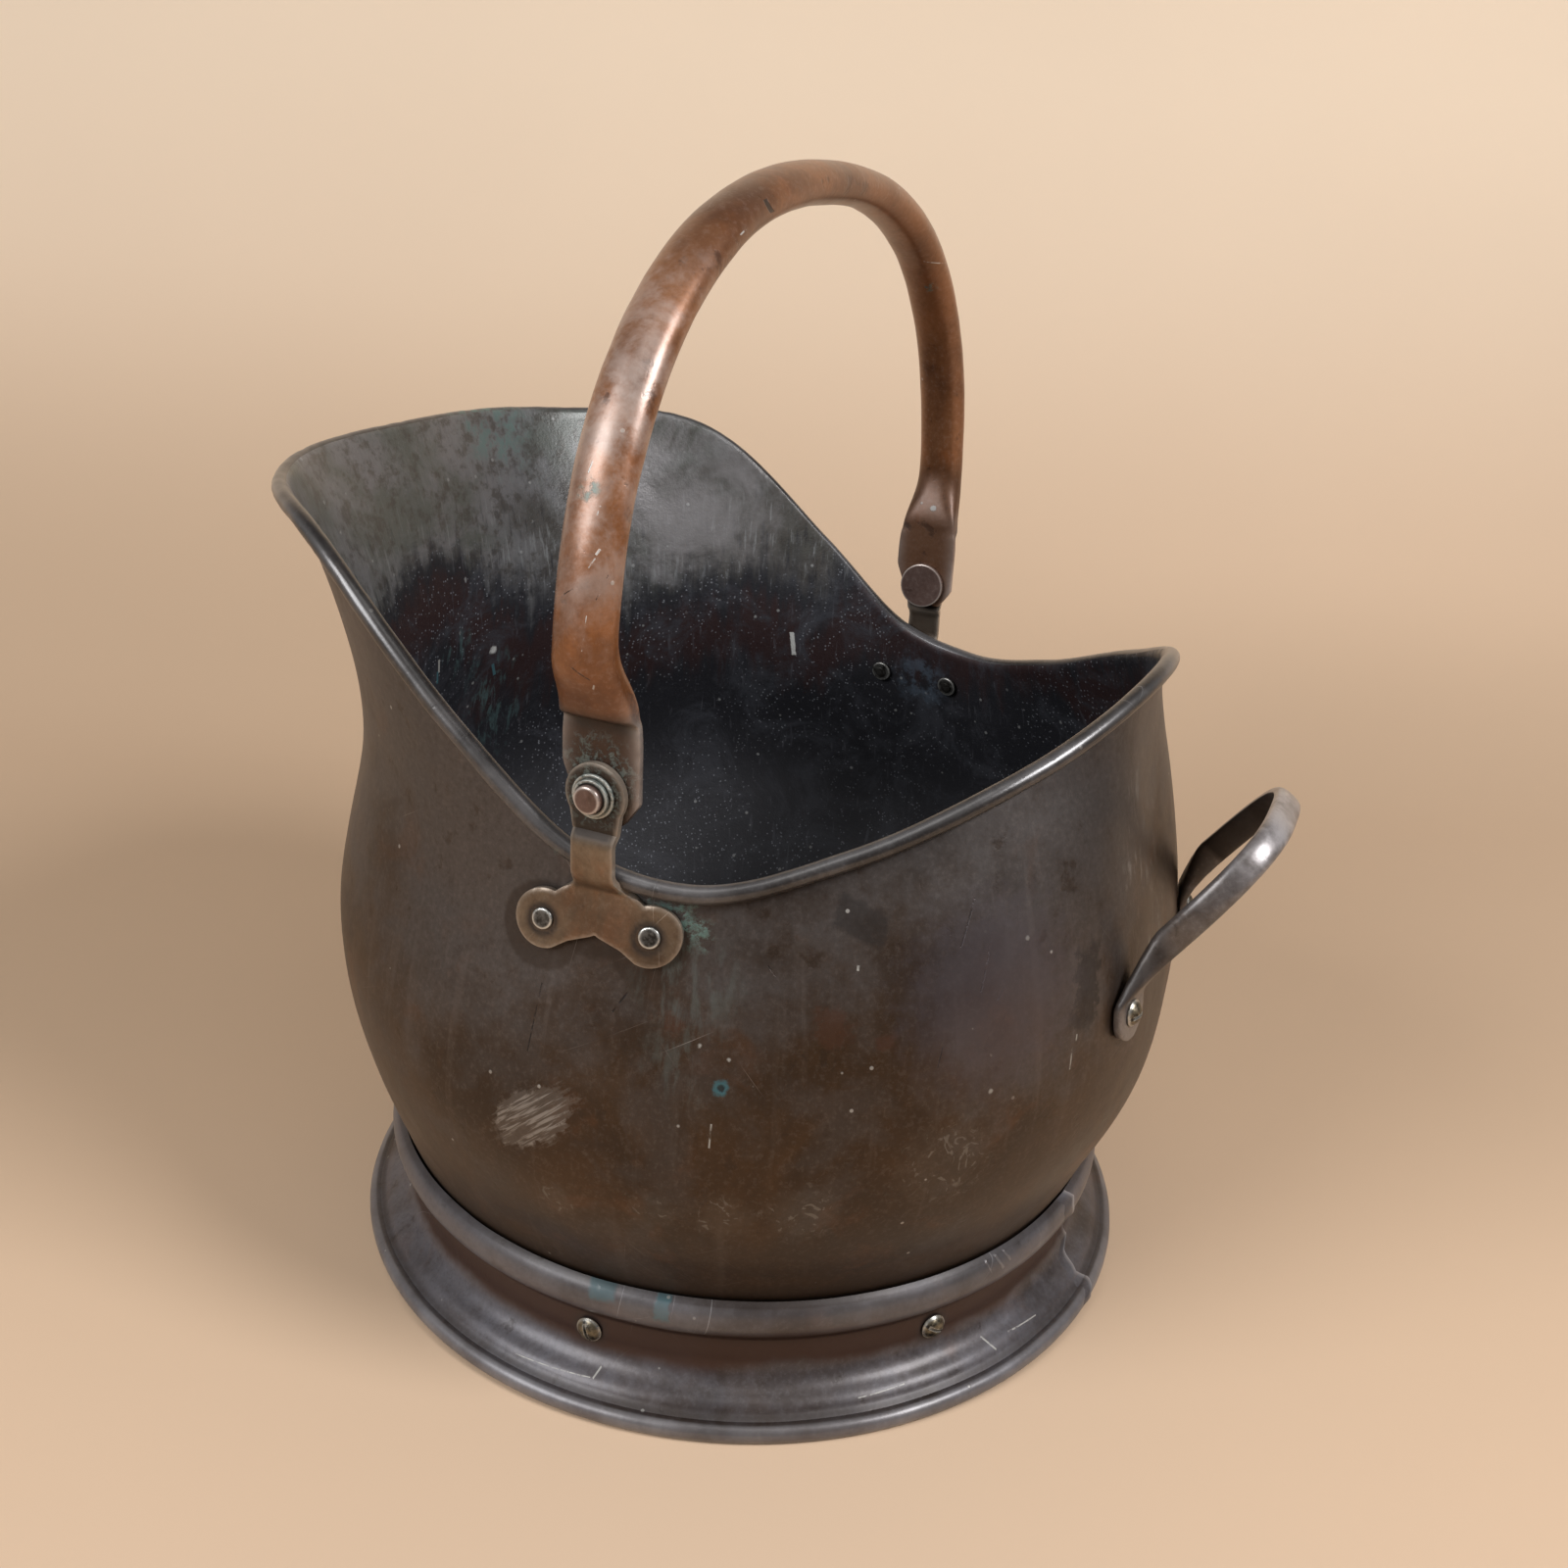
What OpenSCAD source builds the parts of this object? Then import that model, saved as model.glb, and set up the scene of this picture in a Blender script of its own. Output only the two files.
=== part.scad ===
// Helmet coal scuttle: raised copper body on a bolted foot, swinging bail, fixed tipping handle.
// Millimetres. Spout towards -Y, tipping handle towards +Y, floor at z = 0.

/* [Body] */
// Thickness of the copper sheet of the body
body_wall = 1.2; // [1.0:0.1:1.6]
// Radius of the body where it rises out of the foot
collar_r = 139.6; // [136:0.2:143]
// Height at which the body rises out of the foot
collar_h = 49; // [47:0.5:53]
// Widest radius of the bowl at the back
bulge_back_r = 158.5; // [154:0.5:163]
// Widest radius of the bowl at the sides
bulge_side_r = 161; // [156:0.5:165]
// Widest radius of the bowl under the spout
bulge_front_r = 159; // [154:0.5:164]
// Height of the widest line at the back
bulge_back_h = 94; // [88:1:102]
// Height of the widest line at the sides
bulge_side_h = 108; // [100:1:116]
// Height of the widest line under the spout
bulge_front_h = 158; // [148:1:166]
// Radius of the waist at the back
waist_back_r = 143.5; // [140:0.5:147]
// Radius of the waist at the sides
waist_side_r = 148; // [145:0.5:150]
// Radius of the waist under the spout
waist_front_r = 148.5; // [144:0.5:152]
// How far up from bulge to rim the waist lies at the back
waist_back_share = 0.95; // [0.88:0.01:0.96]
// How far up from bulge to rim the waist lies at the sides
waist_side_share = 0.62; // [0.56:0.01:0.68]
// How far up from bulge to rim the waist lies under the spout
waist_front_share = 0.35; // [0.3:0.01:0.42]

/* [Rim] */
// Radius of the rim at the back
rim_back_r = 145.5; // [142:0.5:149]
// Height of the rim at the back
rim_back_h = 252.5; // [248:0.5:258]
// Radius of the rim on the back slope
rim_slope_r = 140.5; // [138:0.5:143]
// Height of the rim on the back slope
rim_slope_h = 233; // [228:0.5:237]
// Radius of the rim as it drops to the saddle
rim_drop_r = 137; // [135:0.5:139]
// Height of the rim as it drops to the saddle
rim_drop_h = 210; // [207:0.5:214]
// Radius of the rim at the saddle, its lowest point
saddle_r = 142; // [140.5:0.5:142.5]
// Height of the rim at the saddle
saddle_h = 199.5; // [197:0.5:201]
// Radius of the rim beside the bail
rim_side_r = 143; // [141.5:0.5:143.5]
// Height of the rim beside the bail
rim_side_h = 208.5; // [207:0.5:210]
// Radius of the rim where it climbs to the spout
rim_climb_r = 149.5; // [147:0.5:151]
// Height of the rim where it climbs to the spout
rim_climb_h = 239.5; // [236:0.5:242]
// Radius of the rim at the spout's shoulder
shoulder_r = 163; // [160:0.5:165]
// Height of the rim at the spout's shoulder
shoulder_h = 284.5; // [281:0.5:287]
// Radius of the rim at the spout's widest part
spout_flank_r = 171.5; // [168:0.5:174]
// Height of the rim at the spout's widest part
spout_flank_h = 293.5; // [290:0.5:297]
// Radius of the rim at the tip of the spout
spout_tip_r = 162; // [158:0.5:166]
// Height of the rim at the tip of the spout
spout_tip_h = 296.5; // [292:0.5:300]
// Radius of the iron wire inside the rolled rim
rim_wire_r = 1.8; // [1.5:0.1:2.1]

/* [Foot] */
// Thickness of the foot's sheet
foot_wall = 1.2; // [1.0:0.1:1.5]
// Radius of the straight neck that the bolts go through
foot_neck_r = 138.5; // [138.2:0.1:139.5]
// Greatest radius of the round collar above the neck
foot_collar_r = 144.6; // [144:0.1:146]
// Height of the collar's greatest radius
foot_collar_h = 41.5; // [40.5:0.5:42.5]
// Radius over the rolled bottom edge
foot_r = 155.4; // [154.5:0.2:158]
// Radius of the rolled bottom edge itself
foot_bead_r = 3.6; // [3.3:0.1:4]
// Height of the foot bolts
foot_bolt_h = 24.5; // [23.5:0.5:25.5]
// Number of foot bolts
foot_bolt_count = 7; // [5:1:9]
// Angle of the first foot bolt from the back
foot_bolt_turn = 36; // [20:1:45]

/* [Base pan] */
// Height of the flat pan's underside
pan_h = 30; // [29.6:0.1:31]
// Thickness of the pan
pan_wall = 1.2; // [1.0:0.1:1.6]

/* [Bail] */
// Distance of the pivot behind the middle of the foot
pivot_y = 11.5; // [10:0.5:13]
// Height of the pivot
pivot_h = 229; // [228:0.5:232]
// Half the distance between the flattened ends, to their middle
ear_x = 142; // [141.6:0.2:142.4]
// Half the width of the bail between the middles of its legs
bail_half_w = 153; // [152:0.5:155]
// Height of the whole scuttle, from the floor to the top of the upright bail
overall_h = 403.8; // [396:0.5:411]
// Height above the pivot at which the legs start to arch
bail_leg = 25; // [15:1:35]
// Roundness of the arch, 2 is an ellipse
bail_power = 2.35; // [2.1:0.05:2.6]
// Size of the oval tube across the arch
tube_deep = 14.2; // [13:0.1:15]
// Size of the oval tube along the pivot's side
tube_wide = 19.5; // [18:0.1:21]
// Wall of the tube
tube_wall = 1.5; // [1.2:0.1:2]
// Width of the flattened ends
ear_w = 26; // [24:0.5:28]
// Thickness of the flattened ends
ear_t = 3.4; // [3:0.1:3.8]
// Height above the pivot up to which the ends are flat
ear_flat = 22; // [20:0.5:24]
// Height above the pivot at which the tube is full again
tube_full = 45; // [40:1:50]
// How far the flattened ends reach below the pivot
ear_drop = 9; // [8.5:0.1:9.5]

/* [Bail pins] */
// Diameter of the pins
pin_d = 9; // [8:0.1:9.5]
// Diameter of the pins' flat heads inside
pin_head_d = 19.5; // [17:0.5:20]
// Thickness of the pins' flat heads
pin_head_t = 2; // [1.6:0.1:2.2]
// Diameter of the large washers
washer_d = 14; // [13:0.5:15]
// Diameter of the small washers
collar_washer_d = 11.6; // [10.8:0.1:12.4]
// Running clearance round a pin in the bail, on the radius
pin_clear = 0.08; // [0.05:0.01:0.1]
// Gap at each face of the bail's ends
face_gap = 0.3; // [0.2:0.05:0.4]

/* [Brackets] */
// Thickness of the bracket strap
bracket_t = 2.6; // [2.2:0.1:2.8]
// Radius of the bracket's eye
eye_r = 10; // [9:0.5:11]
// Half the width of the bracket's neck
neck_half_w = 7; // [6:0.5:8]
// Depth of the rivets below the pivot
rivet_drop = 44; // [43:0.5:45]
// Distance between the two rivets of a bracket
rivet_pitch = 34; // [32:0.5:36]
// Radius of the bracket's two lobes
lobe_r = 9.5; // [8.5:0.5:10]
// Diameter of the rivets
rivet_d = 4; // [3.6:0.1:4.2]
// Diameter of the rivets' heads
rivet_head_d = 7; // [6.5:0.1:7.5]

/* [Tipping handle] */
// Height of the tipping handle's bolts
grip_bolt_h = 147; // [143:1:150]
// Half the distance between the tipping handle's bolts
grip_bolt_x = 46; // [44:0.5:48]
// Rise of the loop above the horizontal
grip_slope = 55; // [48:1:60]
// Length of the loop, from its root to its tip
grip_reach = 61; // [55:1:63]
// Half the width of the loop
grip_half_w = 41; // [38:0.5:43]
// Width of the strap
grip_strap_w = 10; // [9:0.5:11]
// Thickness of the strap
grip_strap_t = 4.8; // [4:0.2:5.4]
// Width of the strap's flattened ends
grip_tab_w = 19; // [17:0.5:20]
// Thickness of the strap's flattened ends
grip_tab_t = 3; // [2.6:0.1:3.4]

/* [Bolts] */
// Diameter of the round-head bolts
bolt_d = 4; // [3.6:0.1:4.2]
// Diameter of the bolts' heads
bolt_head_d = 9.5; // [9:0.1:10]
// Height of the bolts' heads
bolt_head_h = 3; // [2.6:0.1:3.4]
// Width of a nut across its flats
nut_af = 7; // [6.8:0.1:8]
// Thickness of a nut
nut_t = 3.2; // [2.8:0.1:3.6]

/* [Hidden] */

$fn = 48;
seat = 0.3;             // gap at a seat between a curved sheet and what it carries
plate_seat = 0.85;      // gap behind a bracket at its two ends; the wall is hollow between them
hole_clear = 0.15;      // clearance round a bolt or rivet in its hole, on the radius
wire_clear = 0.2;       // clearance round a wire in its roll
snug = 0.05;            // clearance of what is screwed, pressed or peened on, on the radius
ring_count = 64;        // sections round the body
wall_steps = 11;        // steps up the body's wall
curl_steps = 8;         // steps round a rolled edge
wire_sides = 8;         // sides of the rim wire's section
tube_sides = 16;        // sides of the bail's section
strap_sides = 12;       // sides of the tipping handle's section
LEFT = 1;               // the pourer's left is +X
RIGHT = -1;
RIM_AT = [0, 30, 55, 75, 90, 105, 125, 150, 180];
RIM_R = [rim_back_r, rim_slope_r, rim_drop_r, saddle_r, rim_side_r, rim_climb_r, shoulder_r,
    spout_flank_r, spout_tip_r];
RIM_H = [rim_back_h, rim_slope_h, rim_drop_h, saddle_h, rim_side_h, rim_climb_h, shoulder_h,
    spout_flank_h, spout_tip_h];

copper = "#5a4a40";
grey_copper = "#57525a";
warm_copper = "#8a5436";
iron = "#55565a";
steel = "#8c8c8c";
brass = "#8d8260";

// ---- curves ----

// Slope of a smooth curve through (xs, ys) at knot i, level at both ends
function knot_slope(xs, ys, i) = (i == 0 || i == len(xs) - 1) ? 0 :
    let(h0 = xs[i] - xs[i - 1], h1 = xs[i + 1] - xs[i])
    (h1 * (ys[i] - ys[i - 1]) / h0 + h0 * (ys[i + 1] - ys[i]) / h1) / (h0 + h1);

// Height at x of the smooth curve through (xs, ys)
function smooth_at(xs, ys, x) =
    let(i = max([for (j = [0 : len(xs) - 2]) if (xs[j] <= x) j]),
        h = xs[i + 1] - xs[i], s = (x - xs[i]) / h,
        m0 = knot_slope(xs, ys, i) * h, m1 = knot_slope(xs, ys, i + 1) * h)
    (2 * s^3 - 3 * s^2 + 1) * ys[i] + (s^3 - 2 * s^2 + s) * m0
    + (3 * s^2 - 2 * s^3) * ys[i + 1] + (s^3 - s^2) * m1;

// A value that goes round the body through its back, side and front values
function round_value(back, side, front, a) =
    let(tilt = (back - front) / 2, oval = ((back + front) / 2 - side) / 2)
    side + oval + tilt * cos(a) + oval * cos(2 * a);

function folded(a) = let(b = a % 360) b > 180 ? 360 - b : b;
function unit(v) = v / norm(v);
function mix(a, b, s) = a + (b - a) * s;
function ease(s) = let(c = min(1, max(0, s))) c * c * (3 - 2 * c);
function signed_pow(v, e) = sign(v) * pow(abs(v), e);

// ---- body wall: a smooth line up the outside, from the foot to the rim, at each angle from the back ----

function rim_at(a) = let(b = folded(a)) [smooth_at(RIM_AT, RIM_R, b), smooth_at(RIM_AT, RIM_H, b)];
function rim_rise(a) = (rim_at(a + 1)[1] - rim_at(a - 1 + 360)[1]) / (rim_at(a)[0] * 2 * PI / 180);
function bulge_at(a) = [round_value(bulge_back_r, bulge_side_r, bulge_front_r, a),
    round_value(bulge_back_h, bulge_side_h, bulge_front_h, a)];
function waist_at(a) =
    [round_value(waist_back_r, waist_side_r, waist_front_r, a),
     mix(bulge_at(a)[1], rim_at(a)[1],
        round_value(waist_back_share, waist_side_share, waist_front_share, a))];

// Inside radius of the roll round the rim's wire, and the way out of the wall just under it
roll_r = rim_wire_r + wire_clear;
function rim_out(a) = let(t = unit(rim_at(a) - waist_at(a))) [t[1], -t[0]];
function wall_knots(a) = [[collar_r, collar_h], bulge_at(a), waist_at(a), rim_at(a) - roll_r * rim_out(a)];

// Natural spline through four knots k, at t from 0 to 1 of its chord length
function spline(k, t) =
    let(h = [for (i = [0 : 2]) norm(k[i + 1] - k[i])],
        d = [for (i = [0 : 2]) (k[i + 1] - k[i]) / h[i]],
        p = 6 * (d[1] - d[0]), q = 6 * (d[2] - d[1]),
        u = 2 * (h[0] + h[1]), v = h[1], w = 2 * (h[1] + h[2]), det = u * w - v * v,
        bend = [p * 0, (p * w - q * v) / det, (q * u - p * v) / det, p * 0],
        x = t * (h[0] + h[1] + h[2]),
        i = x < h[0] ? 0 : x < h[0] + h[1] ? 1 : 2,
        start = i == 0 ? 0 : i == 1 ? h[0] : h[0] + h[1],
        s1 = x - start, s0 = h[i] - s1)
    (bend[i] * s0^3 + bend[i + 1] * s1^3) / (6 * h[i])
    + (k[i] / h[i] - bend[i] * h[i] / 6) * s0 + (k[i + 1] / h[i] - bend[i + 1] * h[i] / 6) * s1;

function wall_line(a) = let(k = wall_knots(a)) [for (i = [0 : wall_steps]) spline(k, i / wall_steps)];

// Radius of the wall's outside at angle a and height z, by halving
function wall_t(k, z, lo, hi, n) = let(m = (lo + hi) / 2) n == 0 ? m :
    spline(k, m)[1] < z ? wall_t(k, z, m, hi, n - 1) : wall_t(k, z, lo, m, n - 1);
function wall_r(a, z) = let(k = wall_knots(a)) spline(k, wall_t(k, z, 0, 1, 20))[0];
function wall_x(y, z) = let(r = wall_r(90, z), a = atan2(r, y), s = wall_r(a, z)) sqrt(s^2 - y^2);

// The same line moved inwards by the sheet's thickness
function inward(line, t) = [for (i = [0 : len(line) - 1])
    let(d = unit(line[min(i + 1, len(line) - 1)] - line[max(i - 1, 0)])) line[i] + t * [-d[1], d[0]]];

// The short spigot below the wall, which stands inside the foot's neck
spigot_r = foot_neck_r - foot_wall - 2 * seat;
spigot_line = [[spigot_r, foot_bolt_h - 8], [spigot_r, foot_bolt_h + 10]];

// Points round a roll of radius r about the rim's wire, from the wall over the top and back under
function curl(a, r, from, to, n) = let(o = rim_out(a), up = [-o[1], o[0]], tall = sqrt(1 + rim_rise(a)^2))
    [for (i = [0 : n]) let(c = mix(from, to, i / n)) rim_at(a) + r * cos(c) * o + r * sin(c) * tall * up];

curl_end = -118;        // where the rolled edge stops, clear of the wall
function body_section(a) =
    let(outside = concat(spigot_line, wall_line(a)), inside = inward(outside, body_wall))
    concat(outside, curl(a, roll_r, 165, curl_end, curl_steps),
        curl(a, roll_r + body_wall, curl_end, 165, curl_steps),
        [for (i = [len(inside) - 1 : -1 : 0]) inside[i]]);

function turned(p, a) = [p[0] * sin(a), p[0] * cos(a), p[1]];

// ---- solids from rings of points ----

module skin(rings, closed = false) {
    n = len(rings);
    m = len(rings[0]);
    points = [for (r = rings) each r];
    last = closed ? n - 1 : n - 2;
    sides = [for (i = [0 : last], j = [0 : m - 1])
        let(a = i * m + j, b = i * m + (j + 1) % m, c = ((i + 1) % n) * m + (j + 1) % m,
            d = ((i + 1) % n) * m + j)
        each [[a, c, b], [a, d, c]]];
    caps = closed ? [] : [[for (j = [0 : m - 1]) j], [for (j = [m - 1 : -1 : 0]) (n - 1) * m + j]];
    polyhedron(points = points, faces = concat(sides, caps), convexity = 10);
}

// A ring about centre c, half sizes a and b along the unit vectors u and v, boxier as e falls below 1
function oval_ring(c, u, v, a, b, e, sides) = [for (i = [0 : sides - 1]) let(w = 360 * i / sides)
    c + a * signed_pow(cos(w), e) * u + b * signed_pow(sin(w), e) * v];
function mirrored_ring(r) = [for (p = r) [-p[0], p[1], p[2]]];
function both_halves(half) = concat(half, [for (i = [len(half) - 2 : -1 : 0]) mirrored_ring(half[i])]);

// Puts the origin under the object's middle from front to back, instead of under the middle of the foot
module centred() { translate([0, -middle_y, 0]) children(); }

module on_side(side) {
    if (side == LEFT) children();
    else mirror([1, 0, 0]) children();
}

// ---- where the fixings sit ----

bolt_hole_r = bolt_d / 2 + hole_clear;
rivet_hole_r = rivet_d / 2 + hole_clear;

// Foot bolts: a frame at each, pointing outwards along +X
module at_foot_bolts() {
    for (i = [0 : foot_bolt_count - 1])
        rotate(90 - foot_bolt_turn - i * 360 / foot_bolt_count)
            translate([0, 0, foot_bolt_h]) children();
}

// Bracket plate: it bears on the wall at its foot and at the bend below its neck
bend_drop = 31;         // depth of the bend below the pivot
plate_h = pivot_h - rivet_drop;
plate_foot_h = plate_h - lobe_r;
plate_foot_x = wall_x(pivot_y, plate_foot_h);
plate_slope = (plate_foot_x - wall_x(pivot_y, pivot_h - bend_drop)) / (pivot_h - bend_drop - plate_foot_h);
plate_lean = atan(plate_slope);
plate_x = plate_foot_x - plate_slope * lobe_r;
front_x = wall_x(pivot_y - rivet_pitch / 2, plate_h);
rear_x = wall_x(pivot_y + rivet_pitch / 2, plate_h);
plate_yaw = atan((front_x - rear_x) / rivet_pitch);
plate_sag = wall_x(pivot_y, plate_h) - (front_x + rear_x) / 2;
plate_round = (rivet_pitch / 2)^2 / (2 * plate_sag);

// A frame at the middle of the plate's back, +X out of the wall
module at_plate() {
    translate([plate_x + plate_seat, pivot_y, plate_h])
        rotate(plate_yaw) rotate([0, -plate_lean, 0]) children();
}

// A frame at each rivet of a bracket, +X out of the wall
module at_rivets() {
    turn = asin(rivet_pitch / 2 / plate_round);
    for (s = [-1, 1])
        at_plate() translate([-plate_round, 0, 0]) rotate(s * turn)
            translate([plate_round, 0, 0]) children();
}

// Tipping handle: a frame at each bolt, on the wall, +X along it, +Y out of it, +Z up it
grip_a = asin(grip_bolt_x / wall_r(17, grip_bolt_h));
grip_wall_r = wall_r(grip_a, grip_bolt_h);
grip_turn = grip_a - atan((wall_r(grip_a + 1, grip_bolt_h) - wall_r(grip_a - 1, grip_bolt_h))
    / (grip_wall_r * 2 * PI / 180));
grip_lean = atan((wall_r(grip_a, grip_bolt_h - nut_af) - wall_r(grip_a, grip_bolt_h + nut_af))
    / (2 * nut_af));
grip_out = [sin(grip_turn) * cos(grip_lean), cos(grip_turn) * cos(grip_lean), sin(grip_lean)];
grip_along = [cos(grip_turn), -sin(grip_turn), 0];
grip_up = cross(grip_along, grip_out);
grip_bolt_at = [grip_wall_r * sin(grip_a), grip_wall_r * cos(grip_a), grip_bolt_h];

// A frame at a tipping-handle bolt, pointing outwards along +Z
module at_grip_bolt() {
    translate(grip_bolt_at) rotate([0, 0, -grip_turn]) rotate([grip_lean - 90, 0, 0]) children();
}

// ---- body ----

module body_shell() {
    color(copper) centred() difference() {
        skin([for (i = [0 : ring_count - 1]) let(a = 360 * i / ring_count)
            [for (p = body_section(a)) turned(p, a)]], closed = true);
        at_foot_bolts() rotate([0, 90, 0]) translate([0, 0, spigot_r - 6])
            cylinder(r = bolt_hole_r, h = 12);
        for (side = [LEFT, RIGHT]) on_side(side) {
            at_rivets() rotate([0, 90, 0]) translate([0, 0, -8]) cylinder(r = rivet_hole_r, h = 12);
            at_grip_bolt() translate([0, 0, -8]) cylinder(r = bolt_hole_r, h = 12);
        }
    }
}

module rim_wire() {
    last = 360 - 360 / wire_sides;
    color(iron) centred() skin([for (i = [0 : ring_count - 1]) let(a = 360 * i / ring_count)
        [for (p = curl(a, rim_wire_r, 0, last, wire_sides - 1)) turned(p, a)]], closed = true);
}

module base_pan() {
    color(copper) centred() translate([0, 0, pan_h])
        cylinder(r = spigot_r - body_wall - seat, h = pan_wall, $fn = 96);
}

// ---- foot ----

function arc(c, r, from, to, n) = [for (i = [0 : n]) let(w = mix(from, to, i / n)) c + r * [cos(w), sin(w)]];

collar_round = 9.2;     // radius of the collar's round, the cove's and the flare's
cove_round = 11;
flare_round = 9;
collar_mid = [foot_collar_r - collar_round, foot_collar_h];
cove_mid = [foot_neck_r + cove_round, foot_bolt_h - 2.5];
cove_to = 245;          // where the cove's arc ends, and where the flare's starts and ends
flare_from = 55;
flare_to = 30;
flare_mid = cove_mid + (cove_round + flare_round) * [cos(cove_to), sin(cove_to)];
foot_worn = 0.3;        // depth worn flat off the bottom of the rolled edge
bead_mid = [foot_r - foot_bead_r, foot_bead_r - foot_worn];
function above_floor(line) = [for (p = line) [p[0], max(0, p[1])]];

// The foot's outside from the collar's top down to the groove, or its inside when t is its thickness
function foot_line(t) = concat(
    arc(collar_mid, collar_round - t, 55, -55, 9),
    [[foot_neck_r - t, collar_mid[1] - 10.5]],
    arc(cove_mid, cove_round + t, 180, cove_to, 6),
    arc(flare_mid, flare_round - t, flare_from, flare_to, 3));

module foot_skirt() {
    roll = foot_bead_r - foot_wall;
    inside = foot_line(foot_wall);
    color(grey_copper) centred() difference() {
        rotate_extrude($fn = 96) polygon(concat(foot_line(0),
            above_floor(arc(bead_mid, foot_bead_r, 105, -160, 12)),
            arc(bead_mid, roll, -160, 140, 12), [for (i = [len(inside) - 1 : -1 : 0]) inside[i]]));
        at_foot_bolts() rotate([0, 90, 0]) translate([0, 0, foot_neck_r - 6])
            cylinder(r = bolt_hole_r, h = 12);
    }
}

module foot_edge_wire() {
    color(iron) centred() rotate_extrude($fn = 96) translate(bead_mid)
        circle(r = foot_bead_r - foot_wall - wire_clear, $fn = 24);
}

// ---- round-head bolts and nuts, pointing outwards along +Z from their seat ----

module round_head() {
    ball_r = ((bolt_head_d / 2)^2 + bolt_head_h^2) / (2 * bolt_head_h);
    slot = [bolt_head_d + 1, 1.1, 1.1];
    difference() {
        intersection() {
            translate([0, 0, bolt_head_h - ball_r]) sphere(r = ball_r);
            cylinder(r = bolt_head_d, h = bolt_head_h + 1);
        }
        translate([-slot[0] / 2, -slot[1] / 2, bolt_head_h - slot[2]]) cube([slot[0], slot[1], slot[2] + 1]);
    }
}

module bolt(length) {
    round_head();
    translate([0, 0, -length]) cylinder(d = bolt_d, h = length);
}

module nut() {
    difference() {
        cylinder(d = nut_af / cos(30), h = nut_t, $fn = 6);
        translate([0, 0, -1]) cylinder(r = bolt_d / 2 + snug, h = nut_t + 2);
    }
}

foot_grip = foot_neck_r + seat;
nut_face = (spigot_r - body_wall) * cos(180 / ring_count) - seat;

module foot_bolts() {
    color(brass) centred() at_foot_bolts() rotate([0, 90, 0]) translate([0, 0, foot_grip])
        rotate(40) bolt(foot_grip - nut_face + nut_t + 1);
}

module foot_nuts() {
    color(brass) centred() at_foot_bolts() rotate([0, 90, 0]) translate([0, 0, nut_face - nut_t]) nut();
}

// ---- bail ----

bail_crown = overall_h - pivot_h - tube_deep / 2;   // above the pivot, to the tube's middle
arch_h = bail_crown - bail_leg;
function arch_point(w) =
    [bail_half_w * pow(cos(w), 2 / bail_power), bail_leg + arch_h * pow(sin(w), 2 / bail_power)];
function leg_x(h) = h <= bail_leg ? bail_half_w :
    bail_half_w * pow(1 - pow((h - bail_leg) / arch_h, bail_power), 1 / bail_power);
function fullness(h) = ease((h - ear_flat) / (tube_full - ear_flat));
full_w = asin(pow((tube_full - bail_leg) / arch_h, bail_power / 2));

// Middle line of one half as [x, height, share of the full tube]
leg_stations = [for (h = concat([-ear_drop - 2, 0, ear_flat / 2, ear_flat],
        [for (s = [0.13, 0.3, 0.52, 0.74]) mix(ear_flat, tube_full, s)]))
    [mix(ear_x, leg_x(h), fullness(h)), h, fullness(h)]];
arch_stations = [for (i = [0 : 18]) let(p = arch_point(mix(full_w, 90, i / 18))) [p[0], p[1], 1]];
bail_stations = concat(leg_stations, arch_stations);

function bail_out(k) = let(n = len(bail_stations), a = bail_stations[max(k - 1, 0)],
    b = k == n - 1 ? [-bail_stations[n - 2][0], bail_stations[n - 2][1]] : bail_stations[k + 1],
    d = unit([b[0] - a[0], b[1] - a[1]])) [d[1], 0, -d[0]];
function bail_ring(k, less) = let(s = bail_stations[k])
    oval_ring([s[0], pivot_y, pivot_h + s[1]], bail_out(k), [0, 1, 0],
        mix(ear_t, tube_deep, s[2]) / 2 - less, mix(ear_w, tube_wide, s[2]) / 2 - less,
        mix(0.3, 1, s[2]), tube_sides);

hollow_from = len(leg_stations) - 1;
pin_hole_r = pin_d / 2 + pin_clear;

module bail() {
    last = len(bail_stations) - 1;
    color(warm_copper) centred() difference() {
        skin(both_halves([for (k = [0 : last]) bail_ring(k, 0)]));
        skin(both_halves([for (k = [hollow_from : last]) bail_ring(k, tube_wall)]));
        for (side = [LEFT, RIGHT]) on_side(side) translate([ear_x, pivot_y, pivot_h]) {
            rotate([0, 90, 0]) cylinder(r = pin_hole_r, h = 6 * ear_t, center = true);
            ear_trim();
        }
    }
}

// What is cut off a flattened end: a long corner towards the spout, a short one towards the back
ear_tip_front = -6;     // where the end's foot starts and stops, along Y from the pin
ear_tip_back = 8;
ear_cut_front = 8.5;    // height from the pin at which the front corner's cut starts, and the back's
ear_cut_back = -2;
module ear_trim() {
    edge = ear_w / 2 + 0.5;
    rotate([90, 0, 90]) linear_extrude(6 * ear_t, center = true)
        polygon([[-ear_w, ear_cut_front], [-edge, ear_cut_front], [1.4 * ear_tip_front, ear_cut_back],
            [ear_tip_front, -ear_drop], [ear_tip_back, -ear_drop], [edge, ear_cut_back],
            [ear_w, ear_cut_back], [ear_w, -ear_w], [-ear_w, -ear_w]]);
}

// ---- brackets ----

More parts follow.
